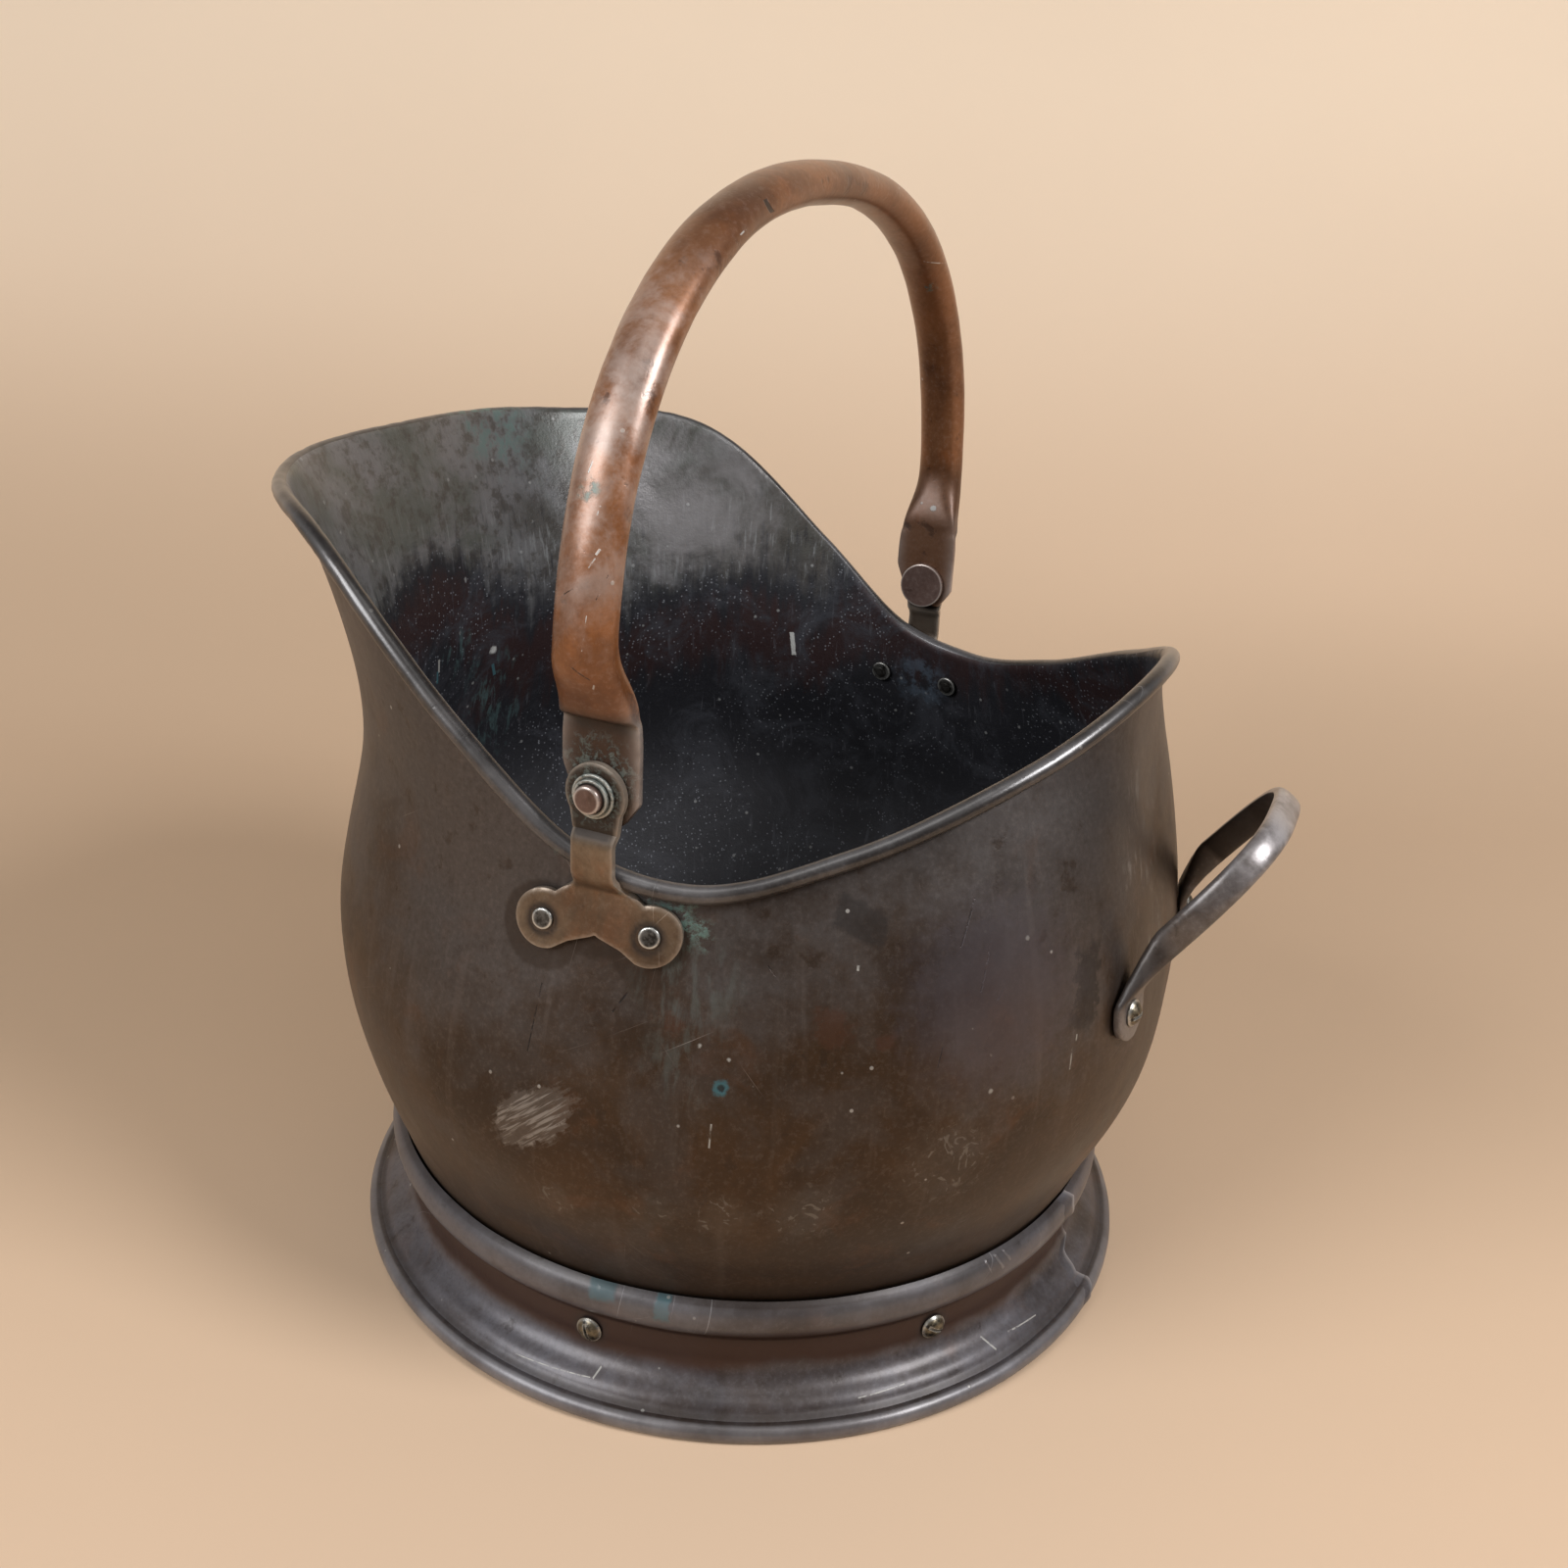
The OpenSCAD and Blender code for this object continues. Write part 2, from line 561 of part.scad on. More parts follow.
eye_x = ear_x + ear_t / 2 + face_gap;
rim_clear_x = max([for (d = [-neck_half_w, 0, neck_half_w])
    let(a = 90 - atan((pivot_y + d) / rim_side_r)) rim_at(a)[0] * sin(a)]) + roll_r + body_wall + seat;
bead_x = max(rim_clear_x, eye_x + 1.5);
kink_drop = 14;         // depth below the pivot of the kink over the rim, and the height it takes
kink_rise = 2.5;
bend_foot = pivot_h - bend_drop - 1.5;  // where the strap leaves the plate, and where it is clear of the rim
bead_foot = pivot_h - bend_drop + 5.5;
bend_x = wall_x(pivot_y - neck_half_w, bend_foot) + 2 * seat;

// Outline of a bracket, flat: pivot at the origin, Y up
module bracket_outline() {
    top = lobe_r - rivet_drop;
    half = rivet_pitch / 2;
    circle(r = eye_r);
    polygon([[-eye_r, 0], [eye_r, 0], [neck_half_w, -kink_drop - 3], [neck_half_w, top],
        [-neck_half_w, top], [-neck_half_w, -kink_drop - 3]]);
    for (s = [-1, 1]) translate([s * half, -rivet_drop]) circle(r = lobe_r);
    difference() {
        polygon([[-half, top], [-neck_half_w - 4.5, top + 2], [-neck_half_w, top + 9], [neck_half_w, top + 9],
            [neck_half_w + 4.5, top + 2], [half, top], [half - 0.45 * lobe_r, top - 1.89 * lobe_r],
            [0, -rivet_drop - 2.5], [0.45 * lobe_r - half, top - 1.89 * lobe_r]]);
        for (s = [-1, 1]) translate([s * (neck_half_w + 7), top + 8]) circle(r = 7);
    }
}

// Side view of the strap above its bend: X out, Y up, from the bend to past the eye
module strap_side() {
    inner = [[bend_x, bend_foot - pivot_h], [bead_x, bead_foot - pivot_h], [bead_x, -kink_drop - 1],
        [eye_x, kink_rise - kink_drop], [eye_x, eye_r + 1]];
    polygon(concat(inner, [for (i = [len(inner) - 1 : -1 : 0]) inner[i] + [bracket_t, 0]]));
}

module bracket(side) {
    color(warm_copper) centred() on_side(side) difference() {
        union() {
            intersection() {
                translate([0, pivot_y, pivot_h]) rotate([90, 0, 90]) linear_extrude(200) bracket_outline();
                translate([0, pivot_y - 20, pivot_h]) rotate([90, 0, 0]) mirror([0, 0, 1])
                    linear_extrude(40) strap_side();
            }
            intersection() {
                translate([100, pivot_y, pivot_h]) rotate([90, 0, 90]) linear_extrude(100)
                    intersection() {
                        bracket_outline();
                        translate([-50, -bend_drop - 40]) square([100, 40]);
                    }
                at_plate() translate([-plate_round, 0, -30]) difference() {
                    cylinder(r = plate_round + bracket_t, h = 60, $fn = 96);
                    translate([0, 0, -1]) cylinder(r = plate_round, h = 62, $fn = 96);
                }
            }
        }
        at_rivets() rotate([0, 90, 0]) translate([0, 0, -8]) cylinder(r = rivet_hole_r, h = 20);
        translate([eye_x - 5, pivot_y, pivot_h]) rotate([0, 90, 0]) cylinder(r = pin_d / 2 + snug, h = 12);
    }
}

// Rivets: a flat button outside on the bracket, a shank, and a peened end on its rove inside
rove_t = 0.9;
rove_face = -body_wall - 1.5;   // face of the rove inside the body, from the plate's back
module bracket_rivets(side) {
    color(steel) centred() on_side(side) at_rivets() rotate([0, 90, 0]) {
        translate([0, 0, bracket_t]) cylinder(d1 = rivet_head_d, d2 = rivet_head_d - 0.8, h = 1.1);
        translate([0, 0, rove_face - rove_t]) cylinder(d = rivet_d, h = bracket_t - rove_face + rove_t);
        translate([0, 0, rove_face - rove_t - 0.8]) cylinder(d1 = rivet_d, d2 = rivet_d + 1, h = 0.8);
    }
}

module rivet_roves(side) {
    color(steel) centred() on_side(side) at_rivets() rotate([0, 90, 0]) translate([0, 0, rove_face - rove_t])
        difference() {
            cylinder(d = rivet_head_d + 2, h = rove_t);
            translate([0, 0, -1]) cylinder(r = rivet_d / 2 + snug, h = rove_t + 2);
        }
}

// ---- pivot pins and their washers, stacked outwards along X from the bail ----

head_x = ear_x - ear_t / 2 - face_gap;
eye_face_x = eye_x + bracket_t;
washer_t = 1.2;
collar_washer_t = 1.5;
peen_h = 2.2;

module along_pin(side, x) {
    on_side(side) translate([x, pivot_y, pivot_h]) rotate([0, 90, 0]) children();
}

module pivot_pin(side) {
    end_x = eye_face_x + washer_t + collar_washer_t + peen_h;
    color(warm_copper) centred() {
        along_pin(side, head_x - pin_head_t) cylinder(d = pin_head_d, h = pin_head_t);
        along_pin(side, head_x) cylinder(d = pin_d, h = end_x - head_x - 0.6);
        along_pin(side, end_x - 0.6) cylinder(d1 = pin_d, d2 = pin_d - 1.6, h = 0.6);
    }
}

module washer(side, x, outer_d, t) {
    color(grey_copper) centred() along_pin(side, x) difference() {
        cylinder(d = outer_d, h = t);
        translate([0, 0, -1]) cylinder(r = pin_d / 2 + snug, h = t + 2);
    }
}

module large_washer(side) { washer(side, eye_face_x, washer_d, washer_t); }
module small_washer(side) { washer(side, eye_face_x + washer_t, collar_washer_d, collar_washer_t); }

// ---- tipping handle ----

grip_back = 0.2;        // gap between the flat ends and the round wall
tab_mid = grip_bolt_at + (grip_tab_t / 2 + grip_back) * grip_out;
grip_rise = [0, cos(grip_slope), sin(grip_slope)];
grip_below = [0, sin(grip_slope), -cos(grip_slope)];
tab_half = grip_tab_w / 2;
grip_root_up = 12;      // height of the loop's root above the bolts
grip_root = tab_mid + grip_root_up * grip_up;

front_y = -spout_tip_r - roll_r - body_wall;
back_y = grip_root[1] + (grip_reach + grip_strap_t / 2) * cos(grip_slope)
    + grip_strap_w / 2 * sin(grip_slope);
middle_y = (back_y + front_y) / 2;

// A flattened end: its half width rounds off towards its tip
function tab_ring(t) = let(w = t < 0 ? tab_half * sqrt(max(0.02, 1 - (t / (tab_half + 0.5))^2)) : tab_half)
    oval_ring(tab_mid + t * grip_up, grip_along, grip_out, w, grip_tab_t / 2, 0.4, strap_sides);
function loop_xy(w) = [grip_half_w * pow(cos(w), 2 / 3), grip_reach * pow(sin(w), 2 / 3)];
function loop_ring(w) = let(p = loop_xy(w), d = unit(loop_xy(min(90, w + 1)) - loop_xy(w - 1)),
        out = w == 90 ? grip_rise : [d[1], 0, 0] - d[0] * grip_rise)
    oval_ring([p[0], grip_root[1], grip_root[2]] + p[1] * grip_rise, out, grip_below,
        grip_strap_t / 2, grip_strap_w / 2, 0.8, strap_sides);
tab_steps = [-tab_half, -8, -5, -2, 2, 5, 7.5];
loop_steps = [5, 9, 14, 20, 27, 35, 43, 51, 59, 66, 72, 78, 84, 90];

module tipping_handle() {
    color(grey_copper) centred() difference() {
        skin(both_halves(concat([for (t = tab_steps) tab_ring(t)], [for (w = loop_steps) loop_ring(w)])));
        for (side = [LEFT, RIGHT]) on_side(side) at_grip_bolt() translate([0, 0, -5])
            cylinder(r = bolt_hole_r, h = 15);
    }
}

handle_washer_d = 12;
handle_washer_t = 1;
handle_seat = -body_wall - 0.8;         // face of the washer inside the body, from the wall's outside
module handle_bolt(side) {
    over = grip_tab_t + grip_back;
    color(brass) centred() on_side(side) at_grip_bolt() translate([0, 0, over])
        bolt(over - handle_seat + handle_washer_t + nut_t + 1);
}

module handle_washer(side) {
    color(steel) centred() on_side(side) at_grip_bolt()
        translate([0, 0, handle_seat - handle_washer_t]) difference() {
            cylinder(d = handle_washer_d, h = handle_washer_t);
            translate([0, 0, -1]) cylinder(r = bolt_hole_r, h = handle_washer_t + 2);
        }
}

module handle_nut(side) {
    color(brass) centred() on_side(side) at_grip_bolt()
        translate([0, 0, handle_seat - handle_washer_t - nut_t]) nut();
}

body_shell();
rim_wire();
base_pan();
foot_skirt();
foot_edge_wire();
foot_bolts();
foot_nuts();
bail();
bracket(LEFT);  // left_bracket
bracket(RIGHT);  // right_bracket
bracket_rivets(LEFT);  // left_bracket_rivets
bracket_rivets(RIGHT);  // right_bracket_rivets
rivet_roves(LEFT);  // left_rivet_roves
rivet_roves(RIGHT);  // right_rivet_roves
pivot_pin(LEFT);  // left_pivot_pin
pivot_pin(RIGHT);  // right_pivot_pin
large_washer(LEFT);  // left_large_washer
large_washer(RIGHT);  // right_large_washer
small_washer(LEFT);  // left_small_washer
small_washer(RIGHT);  // right_small_washer
tipping_handle();
handle_bolt(LEFT);  // left_handle_bolt
handle_bolt(RIGHT);  // right_handle_bolt
handle_washer(LEFT);  // left_handle_washer
handle_washer(RIGHT);  // right_handle_washer
handle_nut(LEFT);  // left_handle_nut
handle_nut(RIGHT);  // right_handle_nut
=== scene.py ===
"""Looks of a helmet coal scuttle: raised copper body, bolted foot, swinging bail, tipping handle.

The classes hold their sizes in millimetres, measured from the middle of the foot on the floor:
+Z up, -Y towards the spout, +Y towards the tipping handle. Angles go round from the back (+Y)
towards the pourer's left (+X). Meshes are written in metres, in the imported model's frame.
"""

import logging
import math
from dataclasses import dataclass, field
from enum import Enum
from typing import Optional, Sequence, Union

import bmesh
import bpy
import numpy as np
from mathutils import Matrix, Vector, geometry, noise


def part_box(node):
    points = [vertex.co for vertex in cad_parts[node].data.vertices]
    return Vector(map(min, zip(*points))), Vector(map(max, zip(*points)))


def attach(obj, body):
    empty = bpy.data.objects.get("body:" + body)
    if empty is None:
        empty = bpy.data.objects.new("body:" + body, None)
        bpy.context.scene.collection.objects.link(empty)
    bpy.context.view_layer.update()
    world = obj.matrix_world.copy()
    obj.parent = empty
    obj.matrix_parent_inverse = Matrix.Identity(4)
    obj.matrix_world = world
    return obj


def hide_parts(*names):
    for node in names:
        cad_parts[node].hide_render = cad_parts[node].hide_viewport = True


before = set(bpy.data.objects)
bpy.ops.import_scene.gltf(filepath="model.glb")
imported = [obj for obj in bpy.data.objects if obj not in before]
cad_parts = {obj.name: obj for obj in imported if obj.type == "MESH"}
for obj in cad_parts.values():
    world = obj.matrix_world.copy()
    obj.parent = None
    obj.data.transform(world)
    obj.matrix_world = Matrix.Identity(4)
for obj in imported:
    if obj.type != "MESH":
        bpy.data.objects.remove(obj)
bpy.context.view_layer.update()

LOG = logging.getLogger("scuttle")
MM = 0.001
FIXING_EDGE = 38.0  # degrees past which an edge of a turned fixing is shaded sharp
FOOT_BOLTS, FIRST_BOLT = 7, 36.0  # bolts round the foot's neck, and degrees from the back to the first
BODY_GIRTH, FOOT_GIRTH, TUBE_GIRTH, STRAP_GIRTH = 0.15, 0.145, 0.0085, 0.004  # metres of UV map per radian round
FOOT_Y = sum(corner.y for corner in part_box("foot_skirt")) / 2
PIVOT = sum(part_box("left_large_washer"), Vector()) / 2 / MM - Vector((0, FOOT_Y / MM, 0))
Material, Piece, Mesh, Socket = bpy.types.Material, bpy.types.Object, bpy.types.Mesh, bpy.types.NodeSocket
Array = np.ndarray
Pair = tuple[float, float]
Colour = Triple = tuple[float, float, float]
Station = tuple[Array, Array, Array, float, float, float]  # middle, two ways, two halves, corners


class Body(Enum):
    """The bodies that pieces ride on."""

    SCUTTLE = "scuttle"
    BAIL = "bail"


class Side(Enum):
    """The pourer's left is +X, the right is -X."""

    LEFT = 1
    RIGHT = -1

    @property
    def word(self) -> str:
        """The side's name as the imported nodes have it."""
        return self.name.lower()


# ---------------------------------------------------------------- node sheets


class Signal:
    """A number on a node sheet, with the sums that are written on it."""

    def __init__(self, sheet: "NodeSheet", socket: Socket) -> None:
        """Wraps an output socket of the sheet's tree."""
        self.sheet = sheet
        self.socket = socket

    def _sum(self, operation: str, other: "Number", turned: bool = False) -> "Signal":
        """One Math node of self and other, or of other and self when turned."""
        pair = (other, self) if turned else (self, other)
        return self.sheet.maths(operation, *pair)

    def __add__(self, other: "Number") -> "Signal":
        """Self plus other."""
        return self._sum("ADD", other)

    def __radd__(self, other: "Number") -> "Signal":
        """Other plus self."""
        return self._sum("ADD", other, True)

    def __sub__(self, other: "Number") -> "Signal":
        """Self less other."""
        return self._sum("SUBTRACT", other)

    def __rsub__(self, other: "Number") -> "Signal":
        """Other less self."""
        return self._sum("SUBTRACT", other, True)

    def __mul__(self, other: "Number") -> "Signal":
        """Self times other."""
        return self._sum("MULTIPLY", other)

    def __rmul__(self, other: "Number") -> "Signal":
        """Other times self."""
        return self._sum("MULTIPLY", other, True)

    def __truediv__(self, other: "Number") -> "Signal":
        """Self over other."""
        return self._sum("DIVIDE", other)

    def most(self, other: "Number") -> "Signal":
        """The larger of self and other."""
        return self._sum("MAXIMUM", other)

    def size(self) -> "Signal":
        """Self without its sign."""
        return self.sheet.maths("ABSOLUTE", self)

    def rising(self, low: float, high: float) -> "Signal":
        """A smooth share, 0 at low and 1 at high; high may lie below low.

        Args:
            low: Value that gives 0.
            high: Value that gives 1.

        Returns:
            The share.
        """
        node = self.sheet.node(
            "ShaderNodeMapRange",
            {"interpolation_type": "SMOOTHSTEP"},
            {"Value": self, "From Min": min(low, high), "From Max": max(low, high),
             "To Min": 0.0 if low < high else 1.0, "To Max": 1.0 if low < high else 0.0},
        )
        return Signal(self.sheet, node.outputs["Result"])


Number = Union[Signal, float]


class NodeSheet:
    """A node tree that is written from Python."""

    def __init__(self, tree: bpy.types.NodeTree) -> None:
        """Takes an empty tree."""
        self.tree = tree

    def node(self, kind: str, settings: Optional[dict] = None, sockets: Optional[dict] = None) -> bpy.types.Node:
        """Adds a node.

        Args:
            kind: The node's type.
            settings: Properties, set first; "stops" fills a colour ramp with (place, colour) pairs.
            sockets: Values or links, by the input's name or number.

        Returns:
            The new node.
        """
        node = self.tree.nodes.new(kind)
        for key, value in (settings or {}).items():
            if key == "stops":
                self._fill_ramp(node.color_ramp, value)
            else:
                setattr(node, key, value)
        for key, value in (sockets or {}).items():
            self.feed(node.inputs[key], value)
        return node

    @staticmethod
    def _fill_ramp(ramp: bpy.types.ColorRamp, stops: Sequence[tuple[float, Colour]]) -> None:
        """Writes a ramp's stops.

        Args:
            ramp: The ramp.
            stops: Places and colours.
        """
        while len(ramp.elements) < len(stops):
            ramp.elements.new(0.5)
        for element, (place, colour) in zip(ramp.elements, stops):
            element.position = place
            element.color = (*colour, 1.0)

    def feed(self, socket: Socket, value: object) -> None:
        """Links a socket, or sets its value.

        Args:
            socket: The input.
            value: A signal, an output, a number or a colour.
        """
        if isinstance(value, Signal):
            value = value.socket
        if isinstance(value, Socket):
            self.tree.links.new(value, socket)
        elif socket.type == "RGBA" and isinstance(value, tuple) and len(value) == 3:
            socket.default_value = (*value, 1.0)
        else:
            socket.default_value = value

    def maths(self, operation: str, *values: Number) -> Signal:
        """A Math node's result."""
        node = self.node("ShaderNodeMath", {"operation": operation}, dict(enumerate(values)))
        return Signal(self, node.outputs[0])


class PaintSheet(NodeSheet):
    """One material's node tree."""

    def __init__(self, name: str) -> None:
        """Starts a material of that name.

        Args:
            name: The material's name.
        """
        self.material = bpy.data.materials.new(name)
        self.material.use_nodes = True
        super().__init__(self.material.node_tree)
        self.tree.nodes.clear()
        self.place = self.node("ShaderNodeTexCoord").outputs["Object"]
        self._ragged: Optional[Signal] = None

    def axis(self, letter: str, vector: Optional[Socket] = None) -> Signal:
        """One part of the object's own coordinates, or of another vector."""
        split = self.node("ShaderNodeSeparateXYZ", {}, {"Vector": vector or self.place})
        return Signal(self, split.outputs[letter])

    def sheet_place(self, layer: str = "sheet") -> Socket:
        """The coordinates that follow the metal sheet, in metres."""
        return self.node("ShaderNodeUVMap", {"uv_map": layer}).outputs["UV"]

    def mark(self, name: str) -> Signal:
        """A number that the mesh carries at its points."""
        return Signal(self, self.node("ShaderNodeAttribute", {"attribute_name": name}).outputs["Fac"])

    def laid(self, scale: Triple, vector: Optional[Socket] = None,
             turn: float = 0.0, shift: Triple = (0.0, 0.0, 0.0)) -> Socket:
        """Coordinates that are turned about Z, stretched and shifted.

        Args:
            scale: Stretch along each axis.
            vector: Other coordinates than the piece's own.
            turn: Turn in radians.
            shift: Shift of the turned coordinates.

        Returns:
            The coordinates.
        """
        turned = self.node("ShaderNodeMapping", {}, {"Vector": vector or self.place, "Rotation": (0, 0, turn)})
        return self.node("ShaderNodeMapping", {}, {
            "Vector": turned.outputs[0], "Scale": scale, "Location": shift}).outputs[0]

    def cloud(self, scale: float, detail: float = 3.0, rough: float = 0.5, bend: float = 0.0,
              vector: Optional[Socket] = None) -> Signal:
        """Soft noise about 0.5; scale counts its waves per metre of the coordinates.

        Args:
            scale: Waves per metre.
            detail: Finer layers.
            rough: Their weight.
            bend: How far the pattern is swirled.
            vector: Other coordinates.

        Returns:
            The noise.
        """
        node = self.node("ShaderNodeTexNoise", {}, {
            "Vector": vector or self.place, "Scale": scale, "Detail": detail,
            "Roughness": rough, "Distortion": bend})
        return Signal(self, node.outputs["Fac"])

    def cells(self, scale: float, vector: Optional[Socket] = None) -> tuple[Signal, Signal]:
        """Distance to the nearest of many scattered points, and a share that differs from point to point.

        Args:
            scale: Points per metre.
            vector: Other coordinates.

        Returns:
            The distance, and the share of the nearest point.
        """
        node = self.node("ShaderNodeTexVoronoi", {}, {"Vector": vector or self.place, "Scale": scale})
        split = self.node("ShaderNodeSeparateColor", {}, {"Color": node.outputs["Color"]})
        return Signal(self, node.outputs["Distance"]), Signal(self, split.outputs[0])

    @property
    def ragged(self) -> Signal:
        """Fine noise about 0 that breaks the edges of marks; the whole sheet shares one.

        Returns:
            The noise.
        """
        if self._ragged is None:
            self._ragged = self.cloud(230.0, 4.0, 0.65) - 0.5
        return self._ragged

    def near(self, spot: Sequence[float], reach: float, ragged: float = 0.0, core: float = 0.35) -> Signal:
        """1 about a spot, falling to 0 at its reach.

        Args:
            spot: The spot, in millimetres.
            reach: Where it ends, in millimetres.
            ragged: Millimetres of noise that break its edge.
            core: Share of the reach within which it stays 1.

        Returns:
            The share.
        """
        place = tuple(metres(np.array(spot)).tolist())
        gap = self.node("ShaderNodeVectorMath", {"operation": "DISTANCE"}, {0: self.place, 1: place})
        distance = Signal(self, gap.outputs["Value"])
        if ragged:
            distance = distance + self.ragged * (2 * ragged * MM)
        return distance.rising(reach * MM, reach * MM * core)

    def off(self, spot: Sequence[float], way: Sequence[float]) -> Signal:
        """How far a place lies past a spot in millimetres, along a way, in metres.

        Args:
            spot: The spot.
            way: The way, of length 1.

        Returns:
            The distance.
        """
        place = tuple(metres(np.array(spot)).tolist())
        gap = self.node("ShaderNodeVectorMath", {"operation": "SUBTRACT"}, {0: self.place, 1: place})
        dot = self.node("ShaderNodeVectorMath", {"operation": "DOT_PRODUCT"}, {0: gap.outputs[0], 1: tuple(way)})
        return Signal(self, dot.outputs["Value"])

    def flat_on(self, spot: Triple, tilt: float) -> tuple[Signal, Signal]:
        """Places on the upright face that a spot lies on: along a line tilted from level, and across it.

        Args:
            spot: The spot, in millimetres.
            tilt: Degrees from level.

        Returns:
            Metres along the line, and across it.
        """
        turn, lean = math.atan2(spot[0], spot[1]), math.radians(tilt)
        right = np.array([-math.cos(turn), math.sin(turn), 0.0])
        up = np.array([0.0, 0.0, 1.0])
        along = self.off(spot, right * math.cos(lean) + up * math.sin(lean))
        return along, self.off(spot, up * math.cos(lean) - right * math.sin(lean))

    def window(self, spot: Triple, half: Pair, tilt: float = 0.0, soft: float = 0.4) -> Signal:
        """1 in a window of a round upright face.

        Args:
            spot: Its middle, in millimetres.
            half: Half its length and half its height, in millimetres.
            tilt: Degrees that its length rises to the right, seen from outside.
            soft: Share of its half height that is given to a ragged edge.

        Returns:
            The share.
        """
        along, across = self.flat_on(spot, tilt)
        edge = self.ragged * (2 * soft * half[1] * MM)
        length = (along.size() + edge).rising(half[0] * MM, (half[0] - soft * min(half)) * MM)
        height = (across.size() + edge).rising(half[1] * MM, half[1] * (1 - soft) * MM)
        out = np.array([spot[0], spot[1], 0.0]) / math.hypot(spot[0], spot[1])
        return length * height * self.off(spot, out).size().rising(0.016, 0.012)

    def mix(self, share: Number, under: object, over: object) -> Socket:
        """Colour over on colour under, by a share."""
        node = self.node("ShaderNodeMix", {"data_type": "RGBA"}, {0: share, 6: under, 7: over})
        return node.outputs[2]

    def finish(self, colour: object, roughness: Number, metallic: Number, height_mm: Optional[Signal],
               coat: float = 0.0, coat_rough: float = 0.22) -> Material:
        """Ends the tree.

        Args:
            colour: Base colour.
            roughness: Roughness.
            metallic: Metallic.
            height_mm: Relief of the surface in millimetres, for its bumps.
            coat: Weight of a thin clear coat.
            coat_rough: Its roughness.

        Returns:
            The finished material.
        """
        shader = self.node("ShaderNodeBsdfPrincipled", {}, {
            "Base Color": colour, "Roughness": roughness, "Metallic": metallic,
            "Coat Weight": coat, "Coat Roughness": coat_rough})
        if height_mm is not None:
            bump = self.node("ShaderNodeBump", {}, {"Height": height_mm, "Distance": MM, "Strength": 1.0})
            self.feed(shader.inputs["Normal"], bump.outputs[0])
        self.node("ShaderNodeOutputMaterial", {}, {"Surface": shader.outputs[0]})
        return self.material


class GrowSheet(NodeSheet):
    """A geometry node tree with named inputs."""

    def __init__(self, name: str) -> None:
        """Starts a tree that takes and gives geometry.

        Args:
            name: The tree's name.
        """
        group = bpy.data.node_groups.new(name, "GeometryNodeTree")
        group.interface.new_socket("Geometry", in_out="INPUT", socket_type="NodeSocketGeometry")
        group.interface.new_socket("Geometry", in_out="OUTPUT", socket_type="NodeSocketGeometry")
        super().__init__(group)
        self.entry = self.node("NodeGroupInput")

    def size(self, name: str, kind: str = "Float") -> Signal:
        """A named input of the tree."""
        self.tree.interface.new_socket(name, in_out="INPUT", socket_type="NodeSocket" + kind)
        return Signal(self, self.entry.outputs[name])

    def close(self, geometry_socket: Socket, material: Signal) -> None:
        """Realizes the instances, sets the material and ends the tree.

        Args:
            geometry_socket: The geometry so far.
            material: The material's input.
        """
        real = self.node("GeometryNodeRealizeInstances", {}, {"Geometry": geometry_socket})
        dressed = self.node("GeometryNodeSetMaterial", {}, {"Geometry": real.outputs[0], "Material": material})
        self.node("NodeGroupOutput", {}, {0: dressed.outputs[0]})

    def grow(self, name: str, base: Mesh, sizes: dict[str, object]) -> Piece:
        """Runs the tree on a mesh.

        Args:
            name: Name of the new piece.
            base: The mesh that the tree starts from.
            sizes: Values of the tree's inputs, by name.

        Returns:
            A plain mesh object.
        """
        piece = link_new(name, base)
        modifier = piece.modifiers.new("grow", "NODES")
        modifier.node_group = self.tree
        for item in self.tree.interface.items_tree:
            if item.in_out == "INPUT" and item.name in sizes:
                modifier[item.identifier] = sizes[item.name]
        graph = bpy.context.evaluated_depsgraph_get()
        graph.update()
        mesh = bpy.data.meshes.new_from_object(piece.evaluated_get(graph), depsgraph=graph)
        piece.modifiers.clear()
        piece.data = mesh
        mesh.name = name
        return piece


# ---------------------------------------------------------------- meshes


def metres(points: Array) -> Array:
    """Millimetres from the middle of the foot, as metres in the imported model's frame."""
    return np.asarray(points, float) * MM + np.array([0.0, FOOT_Y, 0.0])


def at_pivot(side: int) -> Matrix:
    """What turns Z out along X to one side (1 or -1), at the bail's pivot."""
    middle = Matrix.Translation(Vector(metres(np.array([0.0, PIVOT.y, PIVOT.z])).tolist()))
    return middle @ Matrix.Rotation(side * math.pi / 2, 4, "Y")


def link_new(name: str, data: object) -> Piece:
    """Puts new data in the scene as an object.

    Args:
        name: The object's name.
        data: A mesh, a lamp or a camera.

    Returns:
        The object.
    """
    thing = bpy.data.objects.new(name, data)
    bpy.context.scene.collection.objects.link(thing)
    return thing


def add_piece(name: str, points: Array, faces: Sequence[Sequence[int]], materials: Sequence[Material],
              sharp: float = 40.0) -> Piece:
    """Makes a piece from points in millimetres.

    Args:
        name: The piece's name.
        points: Its points.
        faces: Their loops, seen from outside anticlockwise.
        materials: Its materials.
        sharp: Angle in degrees past which an edge is shaded sharp.

    Returns:
        The new object.
    """
    mesh = bpy.data.meshes.new(name)
    mesh.from_pydata(metres(points).tolist(), [], [list(map(int, face)) for face in faces])
    piece = link_new(name, mesh)
    for material in materials:
        mesh.materials.append(material)
    smooth(mesh, sharp)
    return piece


def smooth(mesh: Mesh, sharp: float = 40.0) -> None:
    """Shades a mesh smooth, apart from edges past an angle.

    Args:
        mesh: The mesh.
        sharp: The angle, in degrees.
    """
    mesh.polygons.foreach_set("use_smooth", np.ones(len(mesh.polygons), bool))
    mesh.set_sharp_from_angle(angle=math.radians(sharp))
    mesh.update()


